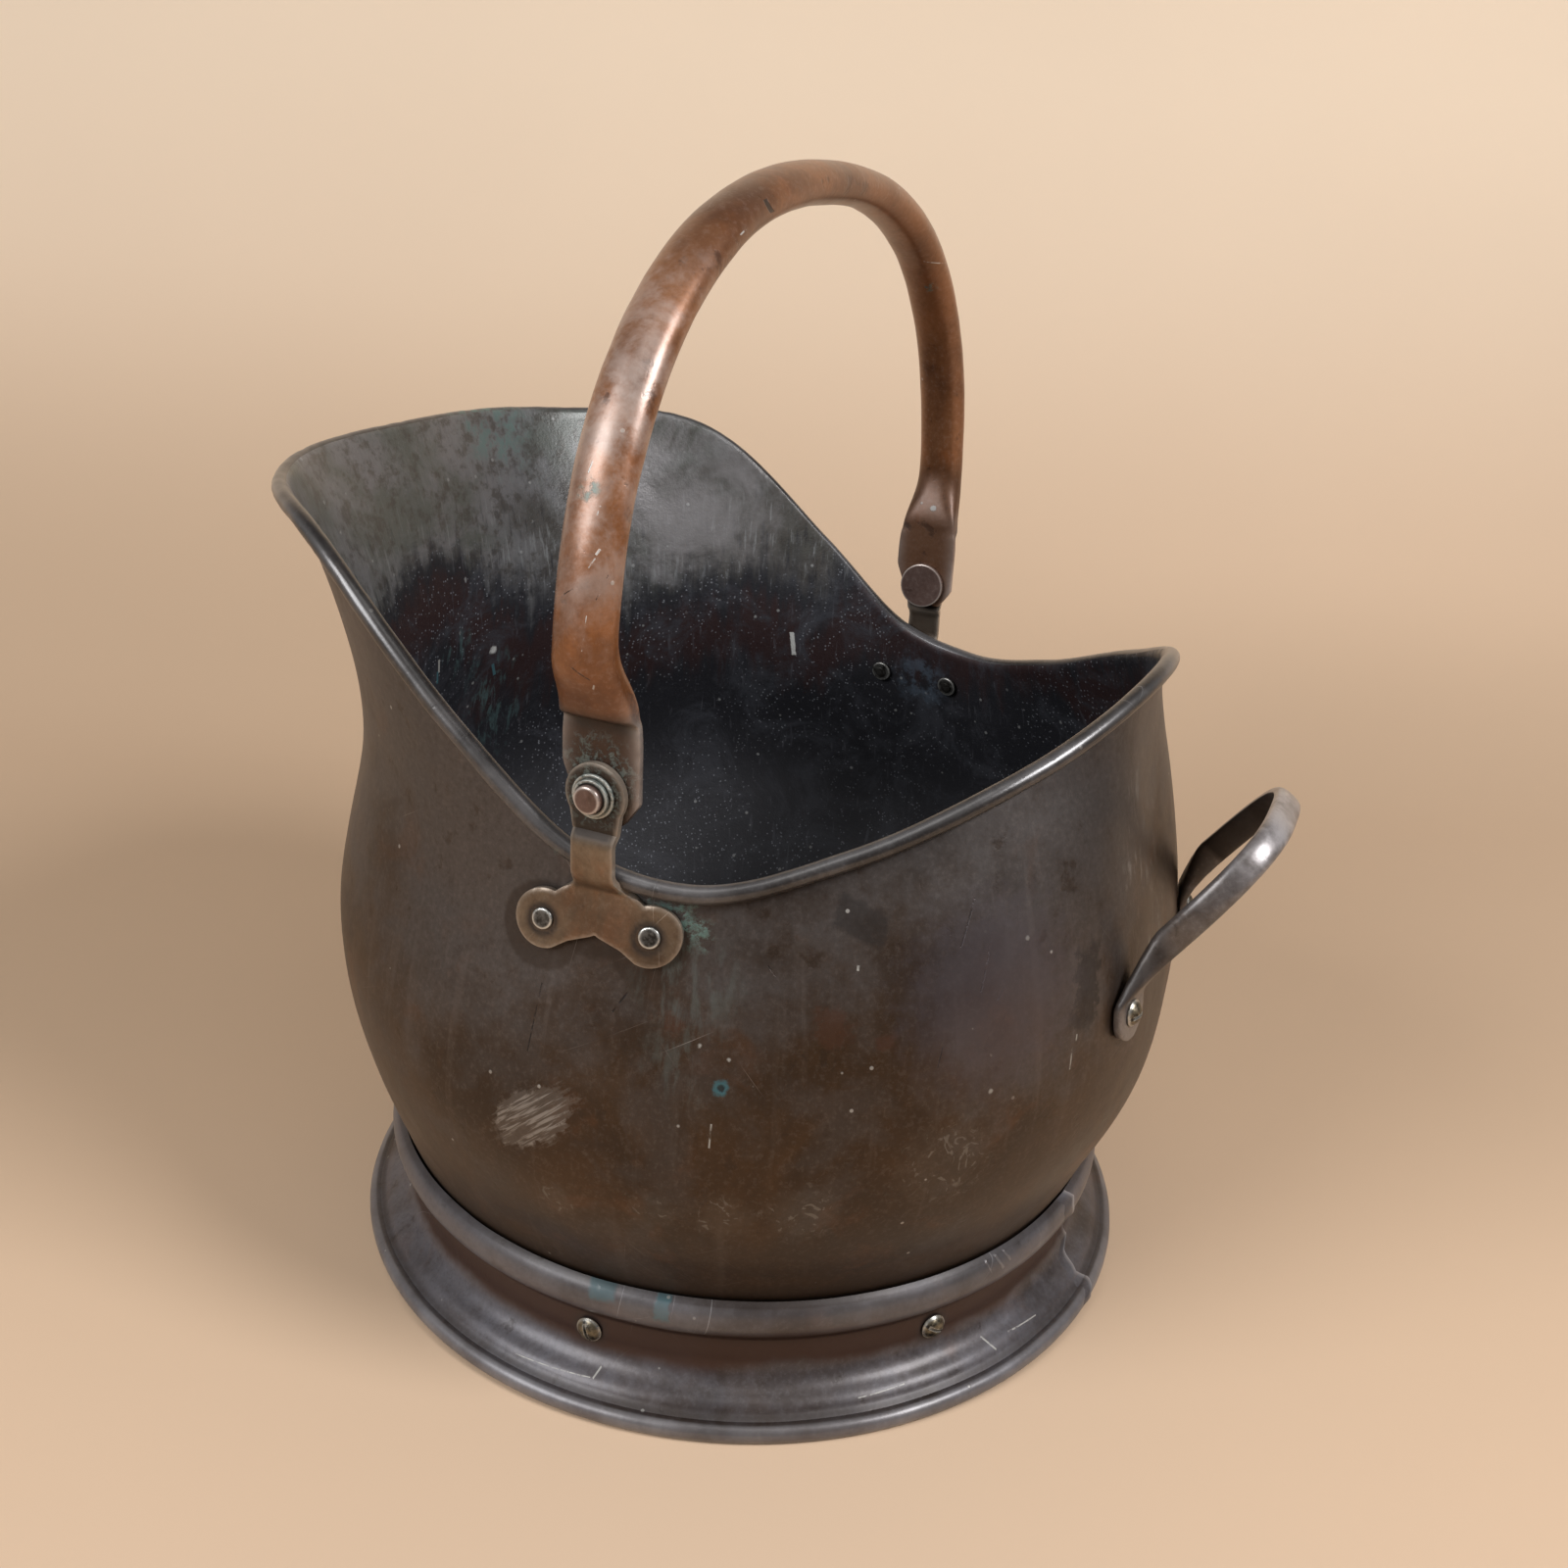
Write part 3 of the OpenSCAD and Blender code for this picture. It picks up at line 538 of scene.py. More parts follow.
def read_points(mesh: Mesh) -> Array:
    """A mesh's own coordinates in millimetres.

    Args:
        mesh: The mesh.

    Returns:
        The coordinates.
    """
    co = np.zeros(len(mesh.vertices) * 3)
    mesh.vertices.foreach_get("co", co)
    return co.reshape(-1, 3) / MM


def read_round(mesh: Mesh) -> tuple[Array, Array]:
    """Radius and height of each point of a turned mesh, in millimetres."""
    points = read_points(mesh)
    return np.hypot(points[:, 0], points[:, 1]), points[:, 2]


def set_mark(mesh: Mesh, name: str, values: Array) -> None:
    """Writes a number at each point of a mesh."""
    layer = mesh.attributes.new(name, "FLOAT", "POINT")
    layer.data.foreach_set("value", np.asarray(values, np.float32).ravel())


def set_sheet_place(mesh: Mesh, places: Array, layer: str = "sheet") -> None:
    """Writes a UV map in metres from one place for each point.

    Args:
        mesh: The mesh.
        places: One pair for each point.
        layer: The map's name.
    """
    corner = np.zeros(len(mesh.loops), np.int32)
    mesh.loops.foreach_get("vertex_index", corner)
    uv = mesh.uv_layers.new(name=layer)
    uv.data.foreach_set("uv", np.asarray(places, np.float32)[corner].ravel())


def ring_faces(rings: int, sides: int, closed: bool) -> list[tuple[int, int, int, int]]:
    """Quads between rings of points, each ring a closed loop; closed joins the last ring to the first.

    Args:
        rings: Number of rings.
        sides: Points in each.
        closed: Whether the tube closes.

    Returns:
        The quads.
    """
    faces = []
    for i in range(rings if closed else rings - 1):
        a, b = i * sides, ((i + 1) % rings) * sides
        for j in range(sides):
            k = (j + 1) % sides
            faces.append((a + j, a + k, b + k, b + j))
    return faces


def tube_faces(rings: int, sides: int) -> list[tuple[int, ...]]:
    """Faces of a tube of rings, with both of its ends closed."""
    ends = [tuple(range(sides)), tuple(range(rings * sides - 1, (rings - 1) * sides - 1, -1))]
    return ring_faces(rings, sides, False) + ends


def run_modifier(piece: Piece, kind: str, **settings: object) -> None:
    """Applies one modifier to a piece's mesh.

    Args:
        piece: The piece.
        kind: The modifier's type.
        **settings: Its settings.
    """
    modifier = piece.modifiers.new(kind.lower(), kind)
    for key, value in settings.items():
        setattr(modifier, key, value)
    graph = bpy.context.evaluated_depsgraph_get()
    graph.update()
    mesh = bpy.data.meshes.new_from_object(piece.evaluated_get(graph), depsgraph=graph)
    piece.modifiers.clear()
    piece.data = mesh


def cut_out(piece: Piece, name: str, work: bmesh.types.BMesh) -> None:
    """Cuts a helper shape out of a piece, and clears the shape away.

    Args:
        piece: The piece.
        name: The helper's name.
        work: The helper's mesh.
    """
    mesh = bpy.data.meshes.new(name)
    work.to_mesh(mesh)
    work.free()
    shape = link_new(name, mesh)
    run_modifier(piece, "BOOLEAN", operation="DIFFERENCE", object=shape, solver="EXACT")
    bpy.data.objects.remove(shape)


def settle(piece: Piece, body: Body, slot: str, *nodes: str) -> None:
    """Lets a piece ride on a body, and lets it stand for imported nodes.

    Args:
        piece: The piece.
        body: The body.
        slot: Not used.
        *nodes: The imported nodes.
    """
    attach(piece, body.value)
    if nodes:
        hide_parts(*nodes)
    LOG.info("%s: %d faces on %s", piece.name, len(piece.data.polygons), body.value)


def soft_noise(points: Array, wave: float, seed: float) -> Array:
    """Noise from -1 to 1 at points in millimetres, about wave millimetres from crest to crest."""
    return np.array([noise.noise(Vector((p[0] / wave + seed, p[1] / wave - seed, p[2] / wave))) for p in points])


def ease(share: Array) -> Array:
    """Smooth share from 0 to 1."""
    s = np.clip(share, 0.0, 1.0)
    return s * s * (3 - 2 * s)


def bell(values: Array, middle: float, width: float) -> Array:
    """1 at the middle, fading to both sides over a width."""
    return np.exp(-((values - middle) / width) ** 2)


def length_along(path: Array) -> Array:
    """How far along a path each of its points lies."""
    return np.concatenate([[0], np.cumsum(np.linalg.norm(np.diff(path, axis=0), axis=1))])


# ---------------------------------------------------------------- finishes


class Skin:
    """A finish as it is laid: its colour, its roughness and its relief in millimetres."""

    def __init__(self, paint: PaintSheet, colour: object, roughness: Number, relief: Number) -> None:
        """Takes the ground that everything else is laid on.

        Args:
            paint: The material's sheet.
            colour: Colour of the ground.
            roughness: Its roughness.
            relief: Its relief.
        """
        self.paint = paint
        self.colour = colour
        self.roughness = roughness
        self.relief = relief

    def lay(self, share: Number, colour: object, rough: float = 0.0, relief: float = 0.0) -> None:
        """Lays a colour by a share, which shifts the roughness and the relief too.

        Args:
            share: How much of it shows.
            colour: Its colour.
            rough: Added roughness.
            relief: Added relief.
        """
        self.colour = self.paint.mix(share, self.colour, colour)
        if rough:
            self.roughness = self.roughness + share * rough
        if relief:
            self.relief = self.relief + share * relief


class Stain(Enum):
    """What left a mark on the body or the foot: its colour, strength, roughness and relief."""

    CRACK = ((0.008, 0.006, 0.005), 0.85, 0.1, -0.15)
    SOOT = ((0.014, 0.011, 0.010), 0.6, 0.1, 0.0)
    DRIP = ((0.46, 0.45, 0.41), 0.7, 0.2, 0.05)
    RUST = ((0.062, 0.024, 0.011), 0.6, 0.1, 0.0)
    BLUE_GREEN = ((0.045, 0.125, 0.145), 0.85, 0.2, 0.05)
    CHALK = ((0.60, 0.60, 0.57), 0.85, 0.2, 0.08)
    RIDGE = ((0.26, 0.24, 0.235), 0.6, -0.1, 0.35)


@dataclass(frozen=True)
class Mark:
    """One mark: what left it, its middle, half its size in millimetres, its tilt, and whether it is a blot."""

    stain: Stain
    spot: Triple
    half: Pair
    tilt: float = 0.0
    blot: bool = False

    def lay_on(self, skin: Skin) -> None:
        """Lays the mark.

        Args:
            skin: What it is laid on.
        """
        colour, strength, rough, relief = self.stain.value
        if self.blot:
            reach = self.half[0] + self.half[1]
            share = skin.paint.near(self.spot, reach * 0.75, reach * 0.7, 0.5)
        else:
            share = skin.paint.window(self.spot, self.half, self.tilt)
            if self.half[1] < 0.6:
                share = share * skin.paint.ragged.rising(-0.11, 0.07)
        skin.lay(share * strength, colour, rough, relief)


@dataclass(frozen=True)
class OldCopper:
    """Copper that has browned and greyed, with wear, drips, scratches, specks and verdigris, and painted shade,
    sheen and highlights where its pieces mark them.
    """

    name: str
    dark: Colour = (0.028, 0.016, 0.009)
    brown: Colour = (0.064, 0.034, 0.015)
    grey: Colour = (0.073, 0.066, 0.064)
    red: Colour = (0.100, 0.041, 0.015)
    # pale metal, laid for wear and also for painted sheen and highlights
    worn: Colour = (0.34, 0.29, 0.26)
    green: Colour = (0.115, 0.19, 0.165)
    film: float = 0.8
    film_rise: Pair = (0.0, 0.0)
    metallic: float = 0.35
    roughness: float = 0.38
    coat: float = 0.3
    coat_rough: float = 0.22
    specks: float = 0.5
    scratches: float = 1.0
    pits: float = 0.5
    streaks: float = 0.0
    green_spots: tuple[tuple[Triple, float], ...] = ()
    # dark spots; on the body, the painted shadow round the bracket plates
    dark_spots: tuple[tuple[Triple, float], ...] = ()
    # pale patches painted where a sheen falls
    pale_spots: tuple[tuple[Triple, float], ...] = ()
    marked: tuple[Mark, ...] = ()
    waves: float = 0.3
    # colour of the painted shade, laid in recesses, under things and on faces turned from the lamps
    dusk: Colour = (0.019, 0.012, 0.008)
    crusts: tuple[tuple[Triple, float], ...] = ()

    def scratch_lines(self, paint: PaintSheet) -> Signal:
        """Thin scratches that lie in a few directions on the sheet.

        Args:
            paint: The material's sheet.

        Returns:
            The scratches' share.
        """
        lines = None
        flat = paint.sheet_place()
        for turn, across, along in ((0.5, 1100.0, 13.0), (-0.9, 1300.0, 19.0), (1.4, 1000.0, 9.0)):
            laid = paint.laid((along, across, along), flat, turn)
            streak = paint.cloud(1.0, 1.0, 0.5, 0.0, laid).rising(0.72, 0.78)
            lines = streak if lines is None else lines.most(streak)
        return lines * paint.cloud(15.0, 2.0).rising(0.50, 0.64)

    def build(self) -> Material:
        """Makes the material.

        Returns:
            The material.
        """
        paint = PaintSheet(self.name)
        broad = paint.cloud(6.0, 3.0, 0.5, 0.3)
        patch = paint.cloud(19.0, 5.0, 0.58, 0.5)
        mottle = paint.cloud(95.0, 5.0, 0.62)
        grain = paint.cloud(900.0, 2.0, 0.6)
        ground = paint.mix(patch.rising(0.30, 0.66), self.dark, self.brown)
        skin = Skin(paint, ground, self.roughness + (patch - 0.5) * 0.16 + (mottle - 0.5) * 0.14,
                    (paint.cloud(20.0, 2.0) - 0.5) * self.waves + (mottle - 0.5) * 0.10 + grain * 0.02)
        film = broad * 0.5 + patch * 0.32 + mottle * 0.18
        if self.film_rise[1]:
            low, high = self.film_rise
            film = film + (paint.axis("Z") - (low + high) / 2) * (0.22 / (high - low))
        film = film.rising(0.42, 0.60)
        skin.lay(film * self.film, self.grey, 0.04)
        skin.lay(paint.cloud(30.0, 4.0, 0.6, 0.6).rising(0.56, 0.72) * (1 - film * 0.55) * 0.5, self.red)
        blotch = paint.cloud(24.0, 7.0, 0.66, 0.35)
        skin.lay(blotch.rising(0.50, 0.64) * (1 - film * 0.5) * 0.3, self.grey, 0.04)
        skin.lay(blotch.rising(0.48, 0.36) * 0.4, self.dark, 0.04)
        fine = paint.cloud(520.0, 4.0, 0.72)
        skin.lay(fine.rising(0.50, 0.66) * 0.06, self.worn, 0.02)
        skin.lay(fine.rising(0.48, 0.34) * 0.25, self.dark, 0.02)
        if self.streaks:
            drips = paint.cloud(1.0, 4.0, 0.6, 0.2, paint.laid((150.0, 9.0, 150.0), paint.sheet_place()))
            skin.lay(drips.rising(0.55, 0.72) * self.streaks, self.worn, 0.05)
            skin.lay(drips.rising(0.45, 0.30) * self.streaks * 1.6, self.dark, 0.05)
        pits = mottle.rising(0.39, 0.31)
        skin.lay(pits * self.pits, self.dark, 0.0, -0.06)
        self.marks(skin)
        scratch = self.scratch_lines(paint) * self.scratches
        skin.lay(scratch * 0.4, self.worn, 0.08, -0.05)
        distance, lot = paint.cells(190.0)
        speck = distance.rising(0.15, 0.09) * lot.rising(0.945, 0.955) * self.specks
        skin.lay(speck, (0.52, 0.50, 0.46), 0.1, 0.1)
        # Painted shade: darkens where the mesh's shade mark says.
        skin.lay(paint.mark("dusk") * (patch.rising(0.25, 0.60) * 0.25 + 0.72), self.dusk, 0.14)
        for spot, reach in self.crusts:
            crumbs = paint.near(spot, reach, reach * 0.35, 0.55)
            crumbs = crumbs * paint.cloud(420.0, 5.0, 0.75, 0.4).rising(0.47, 0.60)
            skin.lay(crumbs * 0.8, (0.125, 0.145, 0.125), 0.25, 0.2)
        # Pale metal where the worn mark says: wear on edges, and a painted highlight on the brackets' rear bend and
        # partly on the bead's crest.
        wear_and_highlight = paint.mark("worn") * (paint.cloud(34.0, 4.0, 0.6).rising(0.30, 0.70) * 0.65 + 0.35)
        skin.lay(wear_and_highlight, self.worn, -0.1)
        # The painted shade also takes the coat's highlight away.
        coat = (1 - paint.mark("dusk")) * self.coat
        return paint.finish(skin.colour, skin.roughness, self.metallic, skin.relief, coat, self.coat_rough)

    def marks(self, skin: Skin) -> None:
        """Lays the dark spots, which on the body are painted shadow round the bracket plates, the painted sheen
        spots, the verdigris and the single marks.

        Args:
            skin: What they are laid on.
        """
        paint = skin.paint
        # Dark spots: on the body, the painted shadow round the bracket plates.
        for spot, reach in self.dark_spots:
            skin.lay(paint.near(spot, reach, 0.8, 0.88) * 0.65, self.dark, 0.08)
        # Painted sheen: pale patches where a highlight falls.
        for spot, reach in self.pale_spots:
            shade = paint.cloud(70.0, 5.0, 0.66, 0.3).rising(0.34, 0.62)
            skin.lay(paint.near(spot, reach, reach * 0.3) * shade * 0.32, self.worn, 0.04)
        crumbs = None
        for spot, reach in self.green_spots:
            crumbs = crumbs or paint.cloud(260.0, 5.0, 0.7).rising(0.44, 0.58)
            skin.lay(paint.near(spot, reach, reach * 0.7) * crumbs * 0.8, self.green, 0.2, 0.12)
        for mark in self.marked:
            mark.lay_on(skin)


@dataclass(frozen=True)
class BodyCopper(OldCopper):
    """The raised body's copper, with the marks of its long use."""

    marked: tuple[Mark, ...] = (
        Mark(Stain.CRACK, (98.0, 114.0, 192.0), (7.5, 0.35), 66.0),
        Mark(Stain.CRACK, (97.6, 121.0, 179.0), (8.0, 0.35), 72.0),
        Mark(Stain.CRACK, (97.1, 126.0, 168.5), (4.5, 0.30), 60.0),
        Mark(Stain.CRACK, (153.2, -5.6, 153.0), (11.0, 0.28), 86.0),
        Mark(Stain.CRACK, (147.5, 21.6, 163.5), (4.2, 0.35), 58.0),
        Mark(Stain.CRACK, (131.8, 66.1, 176.3), (4.2, 0.25), -50.0),
        Mark(Stain.CRACK, (113.0, 113.5, 153.0), (3.4, 0.25), 75.0),
        Mark(Stain.DRIP, (150.0, 54.8, 127.0), (4.0, 0.35), 88.0),
        Mark(Stain.DRIP, (73.7, 146.1, 140.5), (4.2, 0.35), 89.0),
        Mark(Stain.DRIP, (72.0, 146.5, 147.5), (1.3, 0.4), 85.0),
        Mark(Stain.DRIP, (101.5, 126.6, 151.1), (0.75, 0.6), blot=True),
        Mark(Stain.DRIP, (101.9, 128.1, 138.7), (0.8, 0.75), blot=True),
        Mark(Stain.DRIP, (85.1, 129.9, 185.0), (0.9, 0.6), 50.0, blot=True),
        Mark(Stain.DRIP, (145.1, 47.9, 154.3), (1.0, 0.6), 70.0, blot=True),
        Mark(Stain.DRIP, (143.5, 56.8, 151.3), (0.7, 0.6), blot=True),
        Mark(Stain.DRIP, (127.0, 92.5, 180.0), (0.9, 0.5), 80.0),
        Mark(Stain.RUST, (145.4, 38.8, 159.6), (3.0, 2.4), -8.0, blot=True),
        Mark(Stain.RUST, (129.5, 84.4, 163.0), (5.5, 4.5), 20.0, blot=True),
        Mark(Stain.RUST, (122.8, 99.5, 158.7), (3.0, 2.0), blot=True),
        Mark(Stain.SOOT, (118.0, 88.0, 193.0), (9.0, 6.0), -25.0),
        Mark(Stain.SOOT, (67.0, 147.0, 163.0), (6.5, 17.0), -8.0),
        Mark(Stain.BLUE_GREEN, (146.2, 56.1, 142.6), (2.0, 2.2), blot=True),
        Mark(Stain.CRACK, (146.2, 56.1, 142.4), (0.9, 1.1), blot=True),
    )
    scuff: Triple = (160.6, -3.0, 120.9)
    hazes: tuple[tuple[Triple, float], ...] = (
        ((155.0, 38.0, 96.0), 11.0), ((138.0, 82.0, 100.0), 15.0), ((112.0, 119.0, 114.0), 22.0),
        ((158.0, 5.0, 91.0), 9.0), ((150.0, 60.0, 97.0), 13.0))
    mauve: Triple = (97.0, 126.0, 169.0)

    def marks(self, skin: Skin) -> None:
        """Lays the marks, then the mauve patch, the weeps, pale streaks at the back, the scuff and the hazes of
        scratches.

        Args:
            skin: What they are laid on.
        """
        super().marks(skin)
        paint = skin.paint
        skin.lay(paint.near(self.mauve, 42.0, 14.0) * 0.6, (0.080, 0.067, 0.075), -0.04)
        weep = paint.cloud(1.0, 5.0, 0.68, 0.3, paint.laid((190.0, 50.0, 190.0), paint.sheet_place()))
        wet = paint.near((144.5, 42.0, 172.0), 22.0, 8.0) * 0.7
        wet = wet.most(paint.near((146.5, 45.0, 150.0), 18.0, 8.0) * 0.55)
        skin.lay(wet * weep.rising(0.46, 0.62) * 0.6, (0.105, 0.125, 0.115), 0.1)
        # Pale streaks down the wall at the back, by the handle.
        edge = paint.window((16.0, 152.0, 185.0), (26.0, 48.0), 0.0, 0.6) * weep.rising(0.52, 0.66)
        skin.lay(edge * 0.4, (0.30, 0.29, 0.27), 0.1)
        curls = paint.cloud(150.0, 2.0, 0.5, 2.5).rising(0.60, 0.66)
        for spot, reach in self.hazes:
            haze = paint.near(spot, reach, reach * 0.5)
            skin.lay(haze * curls * 0.42 + haze * 0.10, (0.20, 0.18, 0.155), 0.08)
        along, across = paint.flat_on(self.scuff, 40.0)
        lines = paint.node("ShaderNodeCombineXYZ", {}, {0: along * 60.0, 1: across * 700.0}).outputs[0]
        strokes = paint.cloud(1.0, 3.0, 0.6, 0.4, lines)
        oval = along * along * (1 / 0.0165 ** 2) + across * across * (1 / 0.0085 ** 2)
        patch = (oval + (strokes - 0.5) * 2.6 + paint.ragged * 2.2).rising(1.3, 0.7) * paint.near(self.scuff, 55.0)
        skin.lay(patch * (strokes.rising(0.46, 0.58) * 0.7 + 0.2), (0.25, 0.225, 0.20), 0.12, 0.03)


@dataclass(frozen=True)
class FootCopper(OldCopper):
    """The foot's copper: blue-grey, partly a painted reflection of the cool light above, and red-brown in its
    hollow.
    """

    hollow: Colour = (0.036, 0.013, 0.007)
    marked: tuple[Mark, ...] = (
        Mark(Stain.BLUE_GREEN, (142.0, 13.3, 47.0), (5.6, 4.5), 4.0),
        Mark(Stain.BLUE_GREEN, (139.1, 34.6, 45.5), (3.0, 6.0)),
        Mark(Stain.RIDGE, (67.8, 126.9, 45.0), (0.6, 3.4), 20.0),
        Mark(Stain.RIDGE, (63.0, 129.0, 45.5), (0.5, 3.2), 24.0),
        Mark(Stain.RIDGE, (59.0, 130.5, 46.0), (0.5, 2.6), 28.0),
        Mark(Stain.DRIP, (146.8, -4.0, 10.3), (15.0, 0.18), 3.0),
        Mark(Stain.DRIP, (143.9, 12.5, 12.2), (1.5, 0.4), 60.0),
        Mark(Stain.DRIP, (66.3, 130.1, 11.4), (2.6, 0.4), -50.0),
        Mark(Stain.DRIP, (105.0, 103.2, 10.4), (9.0, 0.2), 2.0),
        Mark(Stain.DRIP, (50.0, 137.6, 11.0), (8.0, 0.2), -3.0),
    )
    bolt_ring: Pair = (139.5, 24.5)

    def marks(self, skin: Skin) -> None:
        """Lays the red hollow, the rings round the bolts and the marks.

        Args:
            skin: What they are laid on.
        """
        super().marks(skin)
        paint = skin.paint
        height = paint.axis("Z") + (paint.cloud(24.0, 4.0, 0.6) - 0.5) * 0.014
        hollow = height.rising(0.0165, 0.022) * height.rising(0.041, 0.035)
        skin.lay(hollow * 0.92, self.hollow, 0.05)
        skin.lay(height.rising(0.039, 0.044) * height.rising(0.050, 0.047) * 0.3, self.dark)
        radius, high = self.bolt_ring
        for k in range(FOOT_BOLTS):
            turn = math.radians(FIRST_BOLT + k * 360.0 / FOOT_BOLTS)
            spot = (radius * math.sin(turn), radius * math.cos(turn), high)
            skin.lay(paint.near(spot, 8.5, 1.0) * 0.9, self.dark, 0.1)
        paler = paint.window((142.0, 13.3, 47.6), (3.0, 2.0), 0.0, 0.9) * paint.ragged.rising(0.0, 0.1)
        skin.lay(paler * 0.7, (0.36, 0.42, 0.44), 0.2)


@dataclass(frozen=True)
class BailCopper(OldCopper):
    """The bail's copper: redder and brighter, nicked where it has knocked against things."""

    marked: tuple[Mark, ...] = (
        Mark(Stain.CHALK, (158.0, 14.9, 281.5), (5.0, 0.17), 85.0),
        Mark(Stain.CHALK, (156.6, 16.6, 265.3), (1.6, 0.3), 68.0),
        Mark(Stain.CHALK, (80.5, 21.0, 383.5), (1.2, 0.25), 60.0),
        Mark(Stain.CHALK, (155.0, 15.3, 300.4), (1.6, 0.22), 60.0),
        Mark(Stain.CHALK, (153.9, 16.5, 303.4), (1.0, 0.40), 60.0),
        Mark(Stain.CHALK, (147.0, 10.4, 325.0), (2.2, 0.28), 76.0),
        Mark(Stain.CHALK, (150.5, 15.0, 314.0), (1.3, 0.25), 76.0),
        Mark(Stain.CHALK, (-96.0, 18.7, 368.7), (2.0, 0.25), 12.0),
        Mark(Stain.CHALK, (-141.5, 12.8, 263.5), (1.1, 1.0), blot=True),
        Mark(Stain.CHALK, (149.0, 3.5, 259.5), (0.8, 0.5), blot=True),
        Mark(Stain.CHALK, (149.0, 8.5, 260.0), (0.6, 0.4), blot=True),
        Mark(Stain.CHALK, (148.0, 17.5, 258.5), (0.6, 0.5), blot=True),
        Mark(Stain.CHALK, (146.0, 2.0, 255.5), (0.9, 0.6), 30.0, blot=True),
        Mark(Stain.CRACK, (155.1, 18.4, 294.1), (3.6, 0.2), 70.0),
        Mark(Stain.CRACK, (157.0, 14.0, 270.0), (3.0, 0.25), -35.0),
        Mark(Stain.CRACK, (156.0, 9.0, 292.0), (2.0, 0.2), 35.0),
        Mark(Stain.CRACK, (63.7, 20.6, 390.3), (2.2, 0.60), -60.0),
        Mark(Stain.BLUE_GREEN, (-106.2, 14.9, 358.5), (1.9, 0.5), 10.0),
    )


